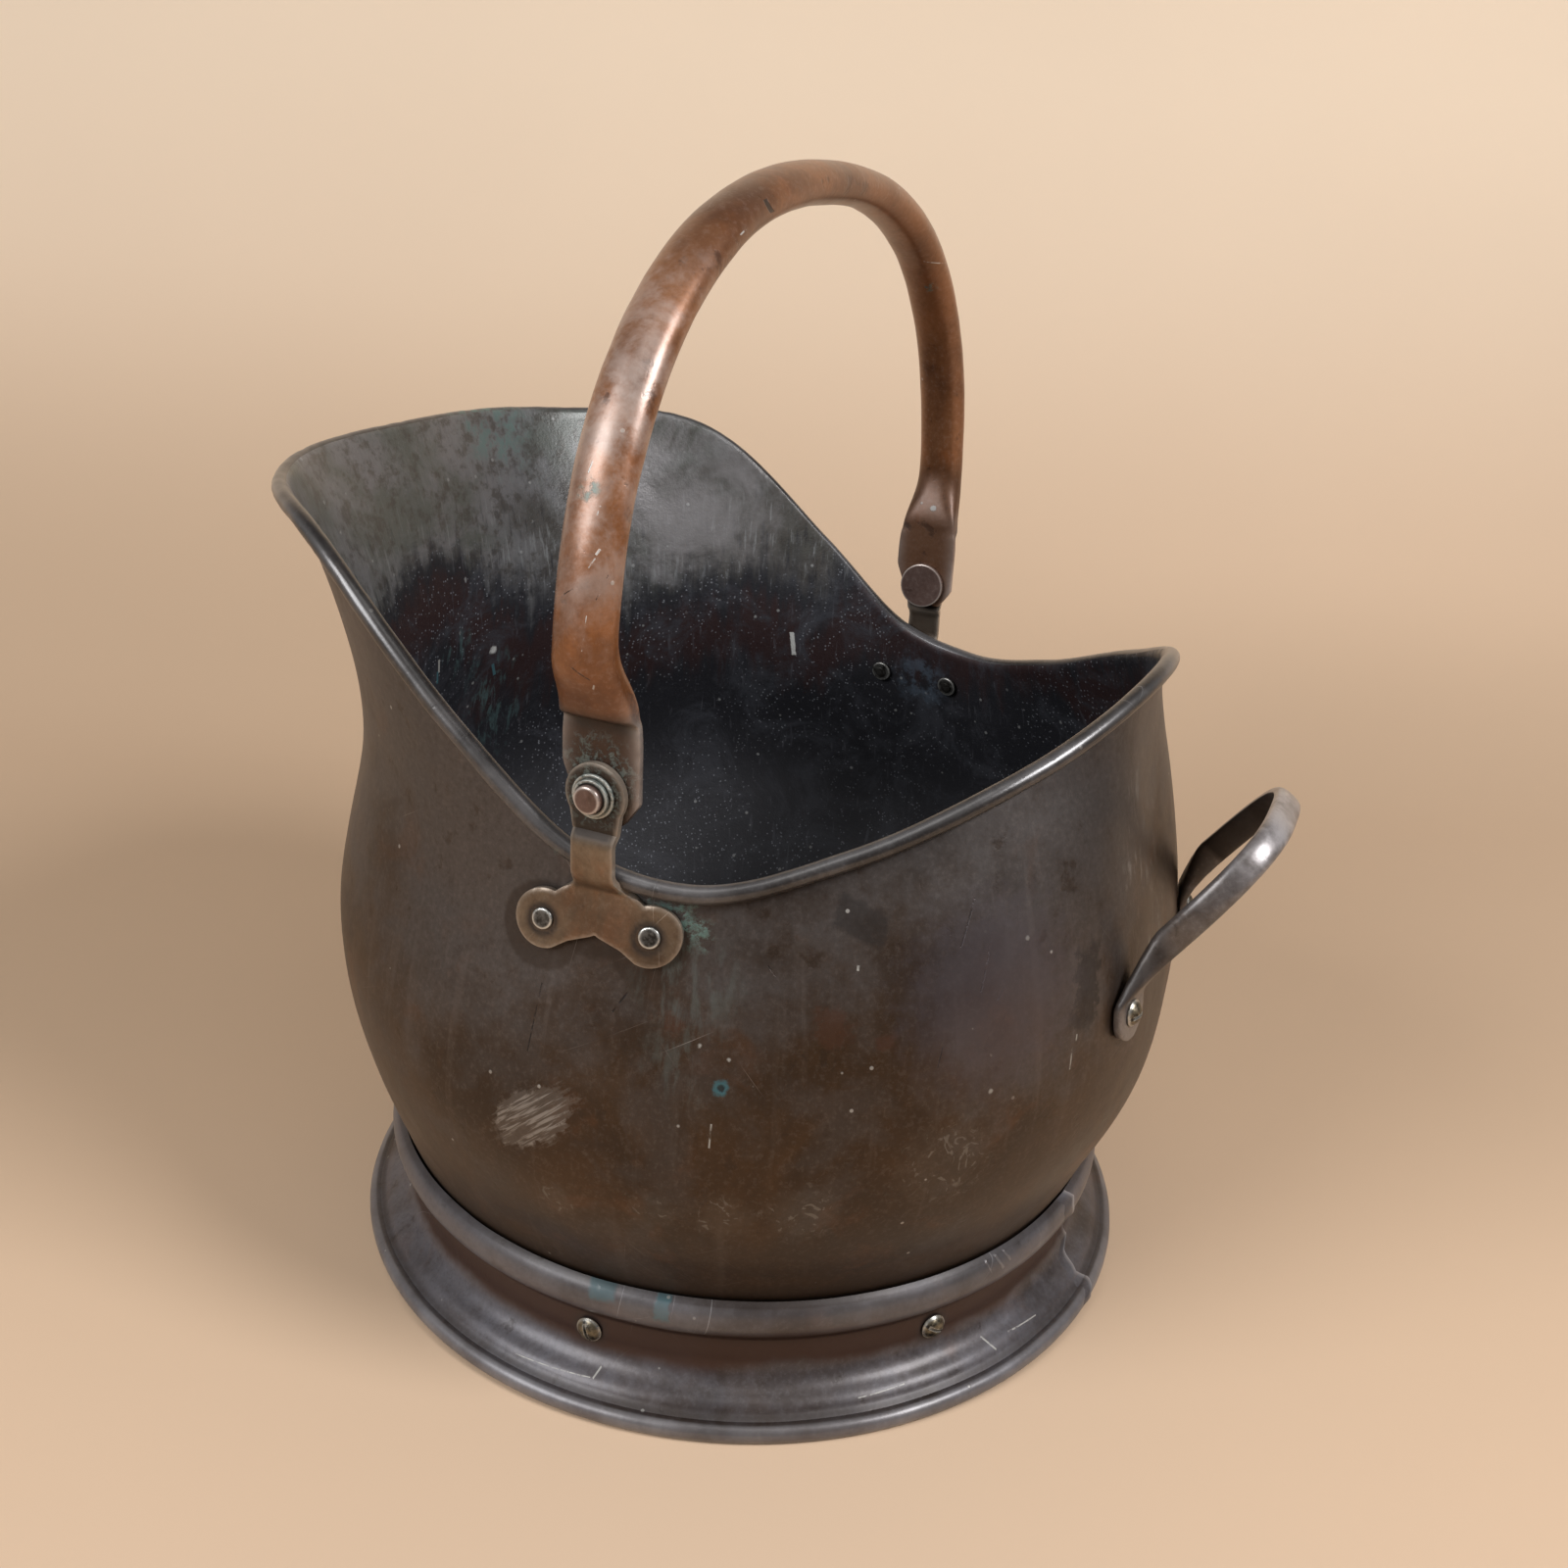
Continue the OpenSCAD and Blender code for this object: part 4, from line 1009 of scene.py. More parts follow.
@dataclass(frozen=True)
class SootedCopper:
    """The inside of the bowl: grey and green at the spout, near black with dust where the coal lay."""

    name: str = "sooted_copper"
    soot: Colour = (0.016, 0.016, 0.020)
    film: Colour = (0.175, 0.172, 0.175)
    green: Colour = (0.105, 0.112, 0.100)
    umber: Colour = (0.058, 0.050, 0.042)
    rust: Colour = (0.040, 0.013, 0.010)
    drips: tuple[Mark, ...] = (
        Mark(Stain.CHALK, (-138.4, -49.4, 191.5), (6.0, 1.25), 82.0),
        Mark(Stain.CHALK, (-31.3, -144.3, 199.5), (2.0, 1.3), 60.0, blot=True),
        Mark(Stain.DRIP, (3.7, -147.5, 201.1), (3.2, 0.7), 80.0),
        Mark(Stain.BLUE_GREEN, (-33.6, -148.3, 190.0), (3.2, 0.9), 70.0),
        Mark(Stain.BLUE_GREEN, (3.7, -147.5, 196.0), (3.0, 0.7), 80.0),
    )
    run_spots: tuple[tuple[Triple, float], ...] = (
        ((-33.0, -149.0, 186.0), 20.0), ((-38.0, -147.0, 165.0), 22.0), ((-8.0, -148.0, 205.0), 14.0))

    def build(self) -> Material:
        """Makes the material.

        Returns:
            The material.
        """
        paint = PaintSheet(self.name)
        flat = paint.sheet_place()
        drips = paint.cloud(1.0, 4.0, 0.6, 0.2, paint.laid((110.0, 7.0, 110.0), flat))
        strokes = paint.cloud(1.0, 3.0, 0.6, 0.2, paint.laid((420.0, 60.0, 420.0), flat))
        patch = paint.cloud(22.0, 6.0, 0.62, 0.6)
        mottle = paint.cloud(150.0, 5.0, 0.7)
        height = paint.axis("Z")
        level = height + (drips - 0.5) * 0.06 + (patch - 0.5) * 0.05 - (1 - paint.mark("clean")) * 0.02
        level = level - paint.near((8.0, -148.0, 214.0), 62.0, 12.0, 0.3) * 0.035
        clean = level.rising(0.211, 0.240)
        film = paint.mix(patch.rising(0.40, 0.60), self.green, self.film)
        film = paint.mix(paint.cloud(11.0, 5.0, 0.62, 0.7).rising(0.46, 0.62) * 0.75, film, self.umber)
        film = paint.mix(mottle.rising(0.54, 0.36) * 0.7, film, self.umber)
        low = height.rising(0.285, 0.225)
        film = paint.mix(strokes.rising(0.56, 0.70) * (low * 0.5 + 0.1), film, (0.30, 0.31, 0.31))
        film = paint.mix(strokes.rising(0.46, 0.30) * (low * 0.6 + 0.1), film, self.soot)
        # Painted sheen: a pale patch on the inner wall at the pourer's right, towards the spout.
        film = paint.mix(paint.near((-119.0, -98.0, 262.0), 62.0, 16.0) * patch.rising(0.36, 0.62) * 0.6, film,
                         (0.30, 0.285, 0.285))
        dark = paint.mix(level.rising(0.165, 0.185) * level.rising(0.215, 0.195) * 0.6, self.soot, self.rust)
        bloom = paint.cloud(30.0, 6.0, 0.75, 0.8).rising(0.46, 0.66)
        dark = paint.mix(bloom * 0.8, dark, (0.050, 0.052, 0.062))
        dark = paint.mix(height.rising(0.16, 0.10) * 0.4, dark, (0.066, 0.064, 0.068))
        dark = paint.mix(strokes.rising(0.60, 0.74) * 0.45, dark, (0.11, 0.11, 0.125))
        skin = Skin(paint, paint.mix(clean, dark, film), 0.60 - clean * 0.24 + (mottle - 0.5) * 0.2,
                    (patch - 0.5) * 0.3 + (mottle - 0.5) * 0.22 + paint.cloud(700.0, 3.0, 0.7) * 0.12)
        distance, lot = paint.cells(700.0)
        dust = distance.rising(0.34, 0.18) * lot.rising(0.62, 0.74) * paint.cloud(16.0, 3.0).rising(0.34, 0.58)
        skin.lay(dust * (1 - clean * 0.85) * 0.6, (0.30, 0.31, 0.34), 0.1, 0.04)
        distance, lot = paint.cells(230.0)
        skin.lay(distance.rising(0.22, 0.12) * lot.rising(0.93, 0.95) * 0.6, (0.34, 0.34, 0.33), 0.1, 0.1)
        skin.lay(paint.near((-50.0, -158.0, 292.0), 26.0, 14.0) * mottle.rising(0.45, 0.60) * 0.6,
                 (0.10, 0.19, 0.17), 0.2)
        skin.lay(paint.near((-143.0, 14.0, 184.0), 17.0, 8.0) * mottle.rising(0.42, 0.60) * 0.55,
                 (0.09, 0.12, 0.16), 0.1)
        runs = paint.cloud(1.0, 5.0, 0.7, 0.4, paint.laid((240.0, 70.0, 240.0), flat)).rising(0.50, 0.62)
        for spot, reach in self.run_spots:
            skin.lay(paint.near(spot, reach, 10.0) * runs * 0.55, (0.07, 0.125, 0.125), 0.1)
        for drip in self.drips:
            drip.lay_on(skin)
        return paint.finish(skin.colour, skin.roughness, 0.25, skin.relief, 0.2)


@dataclass(frozen=True)
class DullMetal:
    """A small fixing: an even metal, with painted shade in its corners, and bright where it is worn."""

    name: str
    colour: Colour = (0.17, 0.15, 0.12)
    dark: Colour = (0.02, 0.017, 0.014)
    bright: Colour = (0.5, 0.49, 0.45)
    crust: Colour = (0.10, 0.13, 0.115)
    crusted: float = 0.0
    metallic: float = 0.7
    roughness: float = 0.36

    def build(self) -> Material:
        """Makes the material.

        Returns:
            The material.
        """
        paint = PaintSheet(self.name)
        mottle = paint.cloud(420.0, 5.0, 0.65)
        ground = paint.mix(mottle.rising(0.34, 0.60), self.dark, self.colour)
        skin = Skin(paint, ground, self.roughness + (mottle - 0.5) * 0.3,
                    (mottle - 0.5) * 0.12 + paint.cloud(1900.0, 2.0, 0.6) * 0.03)
        if self.crusted:
            skin.lay(paint.cloud(520.0, 5.0, 0.7).rising(0.40, 0.58) * self.crusted, self.crust, 0.3, 0.1)
        # Painted shade where the mesh's shade mark says.
        skin.lay(paint.mark("dusk"), self.dark, 0.1)
        skin.lay(paint.mark("worn") * paint.cloud(300.0, 3.0, 0.6).rising(0.28, 0.46), self.bright, -0.1)
        return paint.finish(skin.colour, skin.roughness, self.metallic, skin.relief)


@dataclass(frozen=True)
class PalePaper:
    """The pale paper that the scuttle stands on, with painted light paler up the backdrop and a painted shadow
    behind the scuttle.
    """

    name: str = "pale_paper"
    colour: Colour = (0.665, 0.48, 0.328)
    upper: Colour = (0.825, 0.672, 0.51)
    dip: Colour = (0.30, 0.21, 0.13)

    def build(self) -> Material:
        """Makes the material.

        Returns:
            The material.
        """
        paint = PaintSheet(self.name)
        tone = paint.cloud(1.6, 3.0).rising(0.3, 0.7)
        # Painted light: the paper grows paler up the backdrop.
        colour = paint.mix(paint.axis("Z").rising(0.03, 0.50), self.colour, self.upper)
        # Painted shadow behind the scuttle, deepest to the left and low down.
        behind = paint.off((0.0, 0.0, 0.0), (0.92, 0.39, 0.0)).rising(0.24, -0.15)
        left = paint.off((0.0, 0.0, 0.0), (-0.39, 0.92, 0.0)).rising(0.55, -0.45)
        share = left * 0.9 + paint.axis("Z").rising(0.12, 0.0) * (1 - left) * 0.85 + 0.05
        colour = paint.mix(behind * paint.axis("Z").rising(0.31, 0.02) * share * 0.34, colour, self.dip)
        colour = paint.mix(tone * 0.04, colour, tuple(c * 0.2 for c in self.colour))
        return paint.finish(colour, 0.9, 0.0, paint.cloud(900.0, 3.0) * 0.02)


# ---------------------------------------------------------------- the body


@dataclass
class HelmetBody:
    """The raised bowl with its helmet rim, rolled round an iron wire."""

    wall: float = 1.2
    collar: Pair = (139.6, 49.0)
    bulge_r: Triple = (158.5, 161.0, 159.0)
    bulge_h: Triple = (94.0, 108.0, 158.0)
    waist_r: Triple = (143.5, 148.0, 148.5)
    waist_share: Triple = (0.95, 0.62, 0.35)
    rim_at: tuple[float, ...] = (0, 30, 55, 75, 90, 105, 125, 150, 180)
    rim_r: tuple[float, ...] = (145.5, 140.5, 137, 142, 143, 149.5, 163, 171.5, 162)
    rim_h: tuple[float, ...] = (252.5, 233, 210, 199.5, 208.5, 239.5, 284.5, 293.5, 296.5)
    roll: float = 2.0
    roll_from: float = -118.0
    roll_to: float = 165.0
    crest: float = 40.0
    spigot_r: float = 136.7
    spigot_h: Pair = (16.5, 34.5)
    round_steps: int = 440
    wall_steps: int = 88

    def __post_init__(self) -> None:
        """Works out a table of the wall's radius, by degrees round and millimetres up."""
        turns = np.radians(np.arange(361.0))
        line = self.wall_line(np.repeat(turns[:, None], 400, 1), np.repeat(np.linspace(0, 1, 400)[None], 361, 0))
        self._heights = np.arange(50.0, 260.0)
        self._table = np.array([np.interp(self._heights, row[:, 1], row[:, 0]) for row in line])

    @staticmethod
    def _round_value(three: Triple, angle: Array) -> Array:
        """A value that goes round through its back, side and front values.

        Args:
            three: Values at the back, the side and the front.
            angle: Angles in radians.

        Returns:
            The values.
        """
        back, side, front = three
        tilt, oval = (back - front) / 2, ((back + front) / 2 - side) / 2
        return side + oval + tilt * np.cos(angle) + oval * np.cos(2 * angle)

    def _smooth(self, values: Sequence[float], angle: Array) -> Array:
        """The smooth line through the rim's stations, at angles in radians.

        Args:
            values: One for each station.
            angle: Angles in radians.

        Returns:
            The values.
        """
        xs, ys = np.array(self.rim_at, float), np.array(values, float)
        x = np.degrees(np.arccos(np.clip(np.cos(angle), -1, 1)))
        step, rise = np.diff(xs), np.diff(ys)
        slope = np.zeros(len(xs))
        slope[1:-1] = (step[1:] * rise[:-1] / step[:-1] + step[:-1] * rise[1:] / step[1:]) / (step[:-1] + step[1:])
        i = np.clip(np.searchsorted(xs, x, side="right") - 1, 0, len(xs) - 2)
        h = step[i]
        s = (x - xs[i]) / h
        return ((2 * s**3 - 3 * s**2 + 1) * ys[i] + (s**3 - 2 * s**2 + s) * slope[i] * h
                + (3 * s**2 - 2 * s**3) * ys[i + 1] + (s**3 - s**2) * slope[i + 1] * h)

    def rim(self, angle: Array) -> Array:
        """Radius and height of the rim's wire."""
        return np.stack([self._smooth(self.rim_r, angle), self._smooth(self.rim_h, angle)], -1)

    def knots(self, angle: Array) -> tuple[Array, Array]:
        """The four knots of the wall's line at each angle, and the way out of it under the rim.

        Args:
            angle: Angles in radians.

        Returns:
            The knots, and the ways, as (r, z).
        """
        rim = self.rim(angle)
        bulge = np.stack([self._round_value(self.bulge_r, angle), self._round_value(self.bulge_h, angle)], -1)
        share = self._round_value(self.waist_share, angle)
        waist = np.stack([self._round_value(self.waist_r, angle),
                          bulge[..., 1] + (rim[..., 1] - bulge[..., 1]) * share], -1)
        up = rim - waist
        up /= np.linalg.norm(up, axis=-1, keepdims=True)
        out = np.stack([up[..., 1], -up[..., 0]], -1)
        foot = np.broadcast_to(np.array(self.collar), rim.shape)
        return np.stack([foot, bulge, waist, rim - self.roll * out], -2), out

    def wall_line(self, angle: Array, share: Array) -> Array:
        """Points of the outside, from the foot (share 0) to the rim (share 1); the last axis is (r, z).

        Args:
            angle: Angles in radians.
            share: Shares of the way up.

        Returns:
            The points.
        """
        knots, _ = self.knots(angle)
        chord = np.diff(knots, axis=-2)
        h = np.linalg.norm(chord, axis=-1)
        d = chord / h[..., None]
        p, q = 6 * (d[..., 1, :] - d[..., 0, :]), 6 * (d[..., 2, :] - d[..., 1, :])
        u, v, w = 2 * (h[..., 0] + h[..., 1]), h[..., 1], 2 * (h[..., 1] + h[..., 2])
        det = (u * w - v * v)[..., None]
        none = np.zeros_like(p)
        bend = np.stack([none, (p * w[..., None] - q * v[..., None]) / det,
                         (q * u[..., None] - p * v[..., None]) / det, none], -2)
        x = share * h.sum(-1)
        start = np.concatenate([np.zeros_like(h[..., :1]), np.cumsum(h, -1)], -1)
        i = np.clip((x[..., None] >= start[..., 1:3]).sum(-1), 0, 2)

        def pick(rows: Array, k: Array) -> Array:
            """Row k of each point."""
            return np.take_along_axis(rows, k[..., None, None], -2)[..., 0, :]

        span = np.take_along_axis(h, i[..., None], -1)
        s1 = x[..., None] - np.take_along_axis(start, i[..., None], -1)
        s0 = span - s1
        b0, b1, k0, k1 = pick(bend, i), pick(bend, i + 1), pick(knots, i), pick(knots, i + 1)
        return ((b0 * s0**3 + b1 * s1**3) / (6 * span) + (k0 / span - b0 * span / 6) * s0
                + (k1 / span - b1 * span / 6) * s1)

    def radius_at(self, angle: Array, height: Array) -> Array:
        """Radius of the wall's outside at angles in radians and heights.

        Args:
            angle: The angles.
            height: The heights.

        Returns:
            The radii.
        """
        a = np.degrees(np.asarray(angle, float)) % 360
        h = np.clip(np.asarray(height, float) - self._heights[0], 0, len(self._heights) - 1.001)
        i, j = a.astype(int), h.astype(int)
        u, v, t = a - i, h - j, self._table
        return ((t[i, j] * (1 - v) + t[i, j + 1] * v) * (1 - u) + (t[i + 1, j] * (1 - v) + t[i + 1, j + 1] * v) * u)

    def wall_x(self, y: Array, z: Array) -> Array:
        """How far out along X the wall's outside lies at y and z.

        Args:
            y: Places along Y.
            z: Heights.

        Returns:
            The distances from the middle.
        """
        y, z = np.asarray(y, float), np.asarray(z, float)
        r = self.radius_at(np.full(y.shape, math.pi / 2), z)
        for _ in range(4):
            r = self.radius_at(np.arccos(np.clip(y / r, -1, 1)), z)
        return np.sqrt(np.maximum(r * r - y * y, 0.0))

    def dent(self, points: Array) -> Array:
        """How far the hand-raised sheet lies inside its true shape, in millimetres below 0.

        Args:
            points: Points of the outside.

        Returns:
            One depth for each point.
        """
        dent = (0.55 * soft_noise(points, 62.0, 3.1) + 0.26 * soft_noise(points, 27.0, 8.7)
                + 0.5 * soft_noise(points, 140.0, 1.3))
        dent = np.minimum(dent - 0.55, -0.22)
        calm = np.ones(len(points))
        for spot, reach in self.calm_spots():
            gap = np.linalg.norm(points - np.array(spot), axis=1)
            calm *= ease((gap - reach) / 26.0)
        return dent * calm

    def calm_spots(self) -> list[tuple[Triple, float]]:
        """Places where fixings sit on the wall, with the reach that stays true."""
        spots = [((side * 143.0, 11.5, 187.0), 30.0) for side in (1, -1)]
        return spots + [((side * 46.0, 155.6, 147.0), 14.0) for side in (1, -1)]

    def _sheet(self, angle: Array) -> tuple[Array, Array]:
        """The sheet from its spigot in the foot up to the rim, with its dents.

        Args:
            angle: Angles in radians.

        Returns:
            Its outside and its inside, as points (r, z) at each angle.
        """
        shares = np.linspace(0, 1, self.wall_steps + 1)
        grid = np.repeat(angle[:, None], len(shares), 1)
        outside = self.wall_line(grid, np.repeat(shares[None], len(angle), 0))
        low, high = self.spigot_h
        spigot = np.array([[self.spigot_r, low], [self.spigot_r, high], [self.spigot_r + 0.7, high + 8]])
        line = np.concatenate([np.repeat(spigot[None], len(angle), 0), outside], 1)
        ahead = np.concatenate([line[:, 1:], line[:, -1:]], 1) - np.concatenate([line[:, :1], line[:, :-1]], 1)
        ahead /= np.linalg.norm(ahead, axis=-1, keepdims=True)
        normal = np.stack([ahead[..., 1], -ahead[..., 0]], -1)
        dent = self.dent(self._turned(line, angle).reshape(-1, 3)).reshape(line.shape[:2])
        dent *= ease((line[..., 1] - self.collar[1] - 2) / 16.0)
        share_up = np.concatenate([np.zeros(len(spigot)), shares])[None]
        dent *= ease((1 - share_up) / 0.08)
        line = line + normal * dent[..., None]
        return line, line - normal * self.wall

    def section(self, angle: Array) -> tuple[Array, Array]:
        """The closed section at each angle: up the outside, round the roll and down the inside.

        Args:
            angle: Angles in radians.

        Returns:
            Points (r, z) at each angle, and the number of points of each stretch.
        """
        outside, inside = self._sheet(angle)
        rim = self.rim(angle)
        _, out = self.knots(angle)
        up = np.stack([-out[..., 1], out[..., 0]], -1)
        step = math.radians(1.0)
        rise = (self.rim(angle + step)[..., 1] - self.rim(angle - step)[..., 1]) / (2 * step) / rim[..., 0]
        tall = np.sqrt(1 + rise**2)

        def curl(radius: float, start: float, stop: float, steps: int) -> Array:
            """Points round the wire."""
            c = np.radians(np.linspace(start, stop, steps + 1))[None, :, None]
            return rim[:, None] + radius * (np.cos(c) * out[:, None] + np.sin(c) * (tall[:, None] * up)[:, None])

        inner = curl(self.roll, self.roll_to, self.roll_from, 10)
        outer = curl(self.roll + self.wall - 0.16, self.roll_from, self.roll_to, 26)
        stretches = [outside, inner, outer, inside[:, ::-1]]
        return np.concatenate(stretches, 1), np.array([line.shape[1] for line in stretches])

    @staticmethod
    def _turned(line: Array, angle: Array) -> Array:
        """Points (r, z) at each angle as (x, y, z)."""
        a = angle[:, None]
        return np.stack([line[..., 0] * np.sin(a), line[..., 0] * np.cos(a), line[..., 1]], -1)

    def _batter_bead(self, points: Array, angle: Array, on_bead: Array) -> None:
        """Makes the bead uneven, most of all at the spout, in place.

        Args:
            points: Every point of the body, ring by ring.
            angle: The rings' angles in radians.
            on_bead: Which points of each ring lie on the bead.
        """
        here, each = on_bead.ravel(), on_bead[0].sum()
        spots = points[here]
        rough = ease((-np.cos(np.repeat(angle, each)) - 0.25) / 0.3)
        wobble = 0.12 * soft_noise(spots, 14.0, 5.0) + 0.30 * rough * (soft_noise(spots, 4.5, 2.0) + 0.1)
        core = np.repeat(self._turned(self.rim(angle)[:, None], angle), each, 1).reshape(-1, 3)
        points[here] = spots + (core - spots) * np.clip(wobble / 3.0, 0.0, 0.2)[:, None]

    def build(self, outside: Material, bead: Material,
              inside: Material) -> Piece:
        """Makes the body in one piece, with its three finishes.

        Args:
            outside: The raised copper.
            bead: The rim's copper.
            inside: The sooted copper.

        Returns:
            The body.
        """
        angle = np.radians(np.arange(self.round_steps) * 360.0 / self.round_steps)
        loop, parts = self.section(angle)
        rings, sides = loop.shape[:2]
        ends = np.cumsum(parts)
        points = self._turned(loop, angle).reshape(-1, 3)
        on_bead = np.zeros((rings, sides), bool)
        on_bead[:, ends[1] + 1:ends[2] - 1] = True
        self._batter_bead(points, angle, on_bead)
        piece = add_piece("body", points, ring_faces(rings, sides, True), [outside, bead, inside], 50.0)
        zone = np.zeros(sides, int)
        zone[ends[0] - 1:ends[2] - 3] = 1
        zone[ends[2] - 3:] = 2
        piece.data.polygons.foreach_set("material_index", np.tile(zone, rings).astype(np.int32))
        # Pale along the bead's crest: partly wear, partly a painted highlight line.
        crest = np.zeros((rings, sides))
        crest_at = np.linspace(self.roll_from, self.roll_to, parts[2])
        crest[:, ends[1]:ends[2]] = np.clip(1 - np.abs(crest_at - self.crest) / 36, 0, 1) * 0.35
        set_mark(piece.data, "worn", crest.ravel())
        height, turn = points[:, 2], np.repeat(angle, sides)
        # Painted shade on the lowest band of the wall, above the foot.
        set_mark(piece.data, "dusk", ease((66 - height) / 18.0) * 0.8)
        set_mark(piece.data, "clean", ease((0.25 - np.cos(turn)) / 0.6))
        set_sheet_place(piece.data, np.stack([turn * BODY_GIRTH, height * MM], -1))
        settle(piece, Body.SCUTTLE, "body_copper", "body_shell")
        return piece


# ---------------------------------------------------------------- turned pieces


class Lathe:
    """Turns an outline about an axis, by geometry nodes."""

    def __init__(self) -> None:
        """Writes the tree: a grid whose points are set along the outline and round the axis."""
        sheet = GrowSheet("lathe")
        round_steps, along_steps = sheet.size("Round Steps", "Int"), sheet.size("Along Steps", "Int")
        middle, material = sheet.size("Middle", "Vector"), sheet.size("Material", "Material")
        grid = sheet.node("GeometryNodeMeshGrid", {}, {
            "Size X": 1.0, "Size Y": 1.0, "Vertices X": round_steps + 1, "Vertices Y": along_steps})
        outline = sheet.node("GeometryNodeMeshToCurve", {}, {"Mesh": sheet.entry.outputs[0]})
        split = sheet.node("ShaderNodeSeparateXYZ", {}, {0: sheet.node("GeometryNodeInputPosition").outputs[0]})
        turn = (Signal(sheet, split.outputs["X"]) + 0.5) * (2 * math.pi)
        along = Signal(sheet, split.outputs["Y"]) + 0.5
        sample = sheet.node("GeometryNodeSampleCurve", {"mode": "FACTOR"}, {
            "Curves": outline.outputs[0], "Factor": along})
        spot = sheet.node("ShaderNodeSeparateXYZ", {}, {0: sample.outputs["Position"]})
        radius, rise = Signal(sheet, spot.outputs["X"]), Signal(sheet, spot.outputs["Z"])
        cosine, sine = sheet.maths("COSINE", turn), sheet.maths("SINE", turn)
        place = sheet.node("ShaderNodeCombineXYZ", {}, {"X": radius * cosine, "Y": radius * sine, "Z": rise})
        moved = sheet.node("ShaderNodeVectorMath", {"operation": "ADD"}, {0: place.outputs[0], 1: middle})
        stored = sheet.node("GeometryNodeStoreNamedAttribute", {"data_type": "FLOAT", "domain": "POINT"}, {
            "Geometry": grid.outputs["Mesh"], "Name": "along", "Value": along})
        set_place = sheet.node("GeometryNodeSetPosition", {}, {
            "Geometry": stored.outputs[0], "Position": moved.outputs[0]})
        merged = sheet.node("GeometryNodeMergeByDistance", {}, {
            "Geometry": set_place.outputs[0], "Distance": 1e-6})
        sheet.close(merged.outputs[0], material)
        self.sheet = sheet

    def turn(self, name: str, outline: Sequence[Sequence[float]], round_steps: int, along_steps: int,
             material: Material, middle: Sequence[float] = (0.0, 0.0, 0.0)) -> Piece:
        """Turns one piece about Z.

        Args:
            name: The piece's name.
            outline: Points (radius, height) in millimetres, from one end round the outside to the other.
            round_steps: Faces round the axis.
            along_steps: Points along the outline.
            material: Its material.
            middle: Metres by which the piece is moved.

        Returns:
            The piece, with its faces outwards.
        """
        mesh = bpy.data.meshes.new(name + "_outline")
        points = [(r * MM, 0.0, z * MM) for r, z in outline]
        mesh.from_pydata(points, [(i, i + 1) for i in range(len(points) - 1)], [])
        piece = self.sheet.grow(name, mesh, {
            "Round Steps": round_steps, "Along Steps": along_steps,
            "Middle": tuple(middle), "Material": material})
        face_outwards(piece.data)
        smooth(piece.data, FIXING_EDGE)
        return piece


def face_outwards(mesh: Mesh) -> None:
    """Turns a closed mesh's faces outwards.

    Args:
        mesh: The mesh.
    """
    work = bmesh.new()
    work.from_mesh(mesh)
    bmesh.ops.remove_doubles(work, verts=work.verts, dist=1e-7)
    bmesh.ops.recalc_face_normals(work, faces=work.faces)
    work.to_mesh(mesh)
    work.free()
    mesh.update()


def arc(middle: Sequence[float], radius: float, start: float, stop: float, steps: int) -> list[Pair]:
    """Points of an arc, from one angle to another in degrees."""
    turns = [math.radians(start + (stop - start) * i / steps) for i in range(steps + 1)]
    return [(middle[0] + radius * math.cos(t), middle[1] + radius * math.sin(t)) for t in turns]


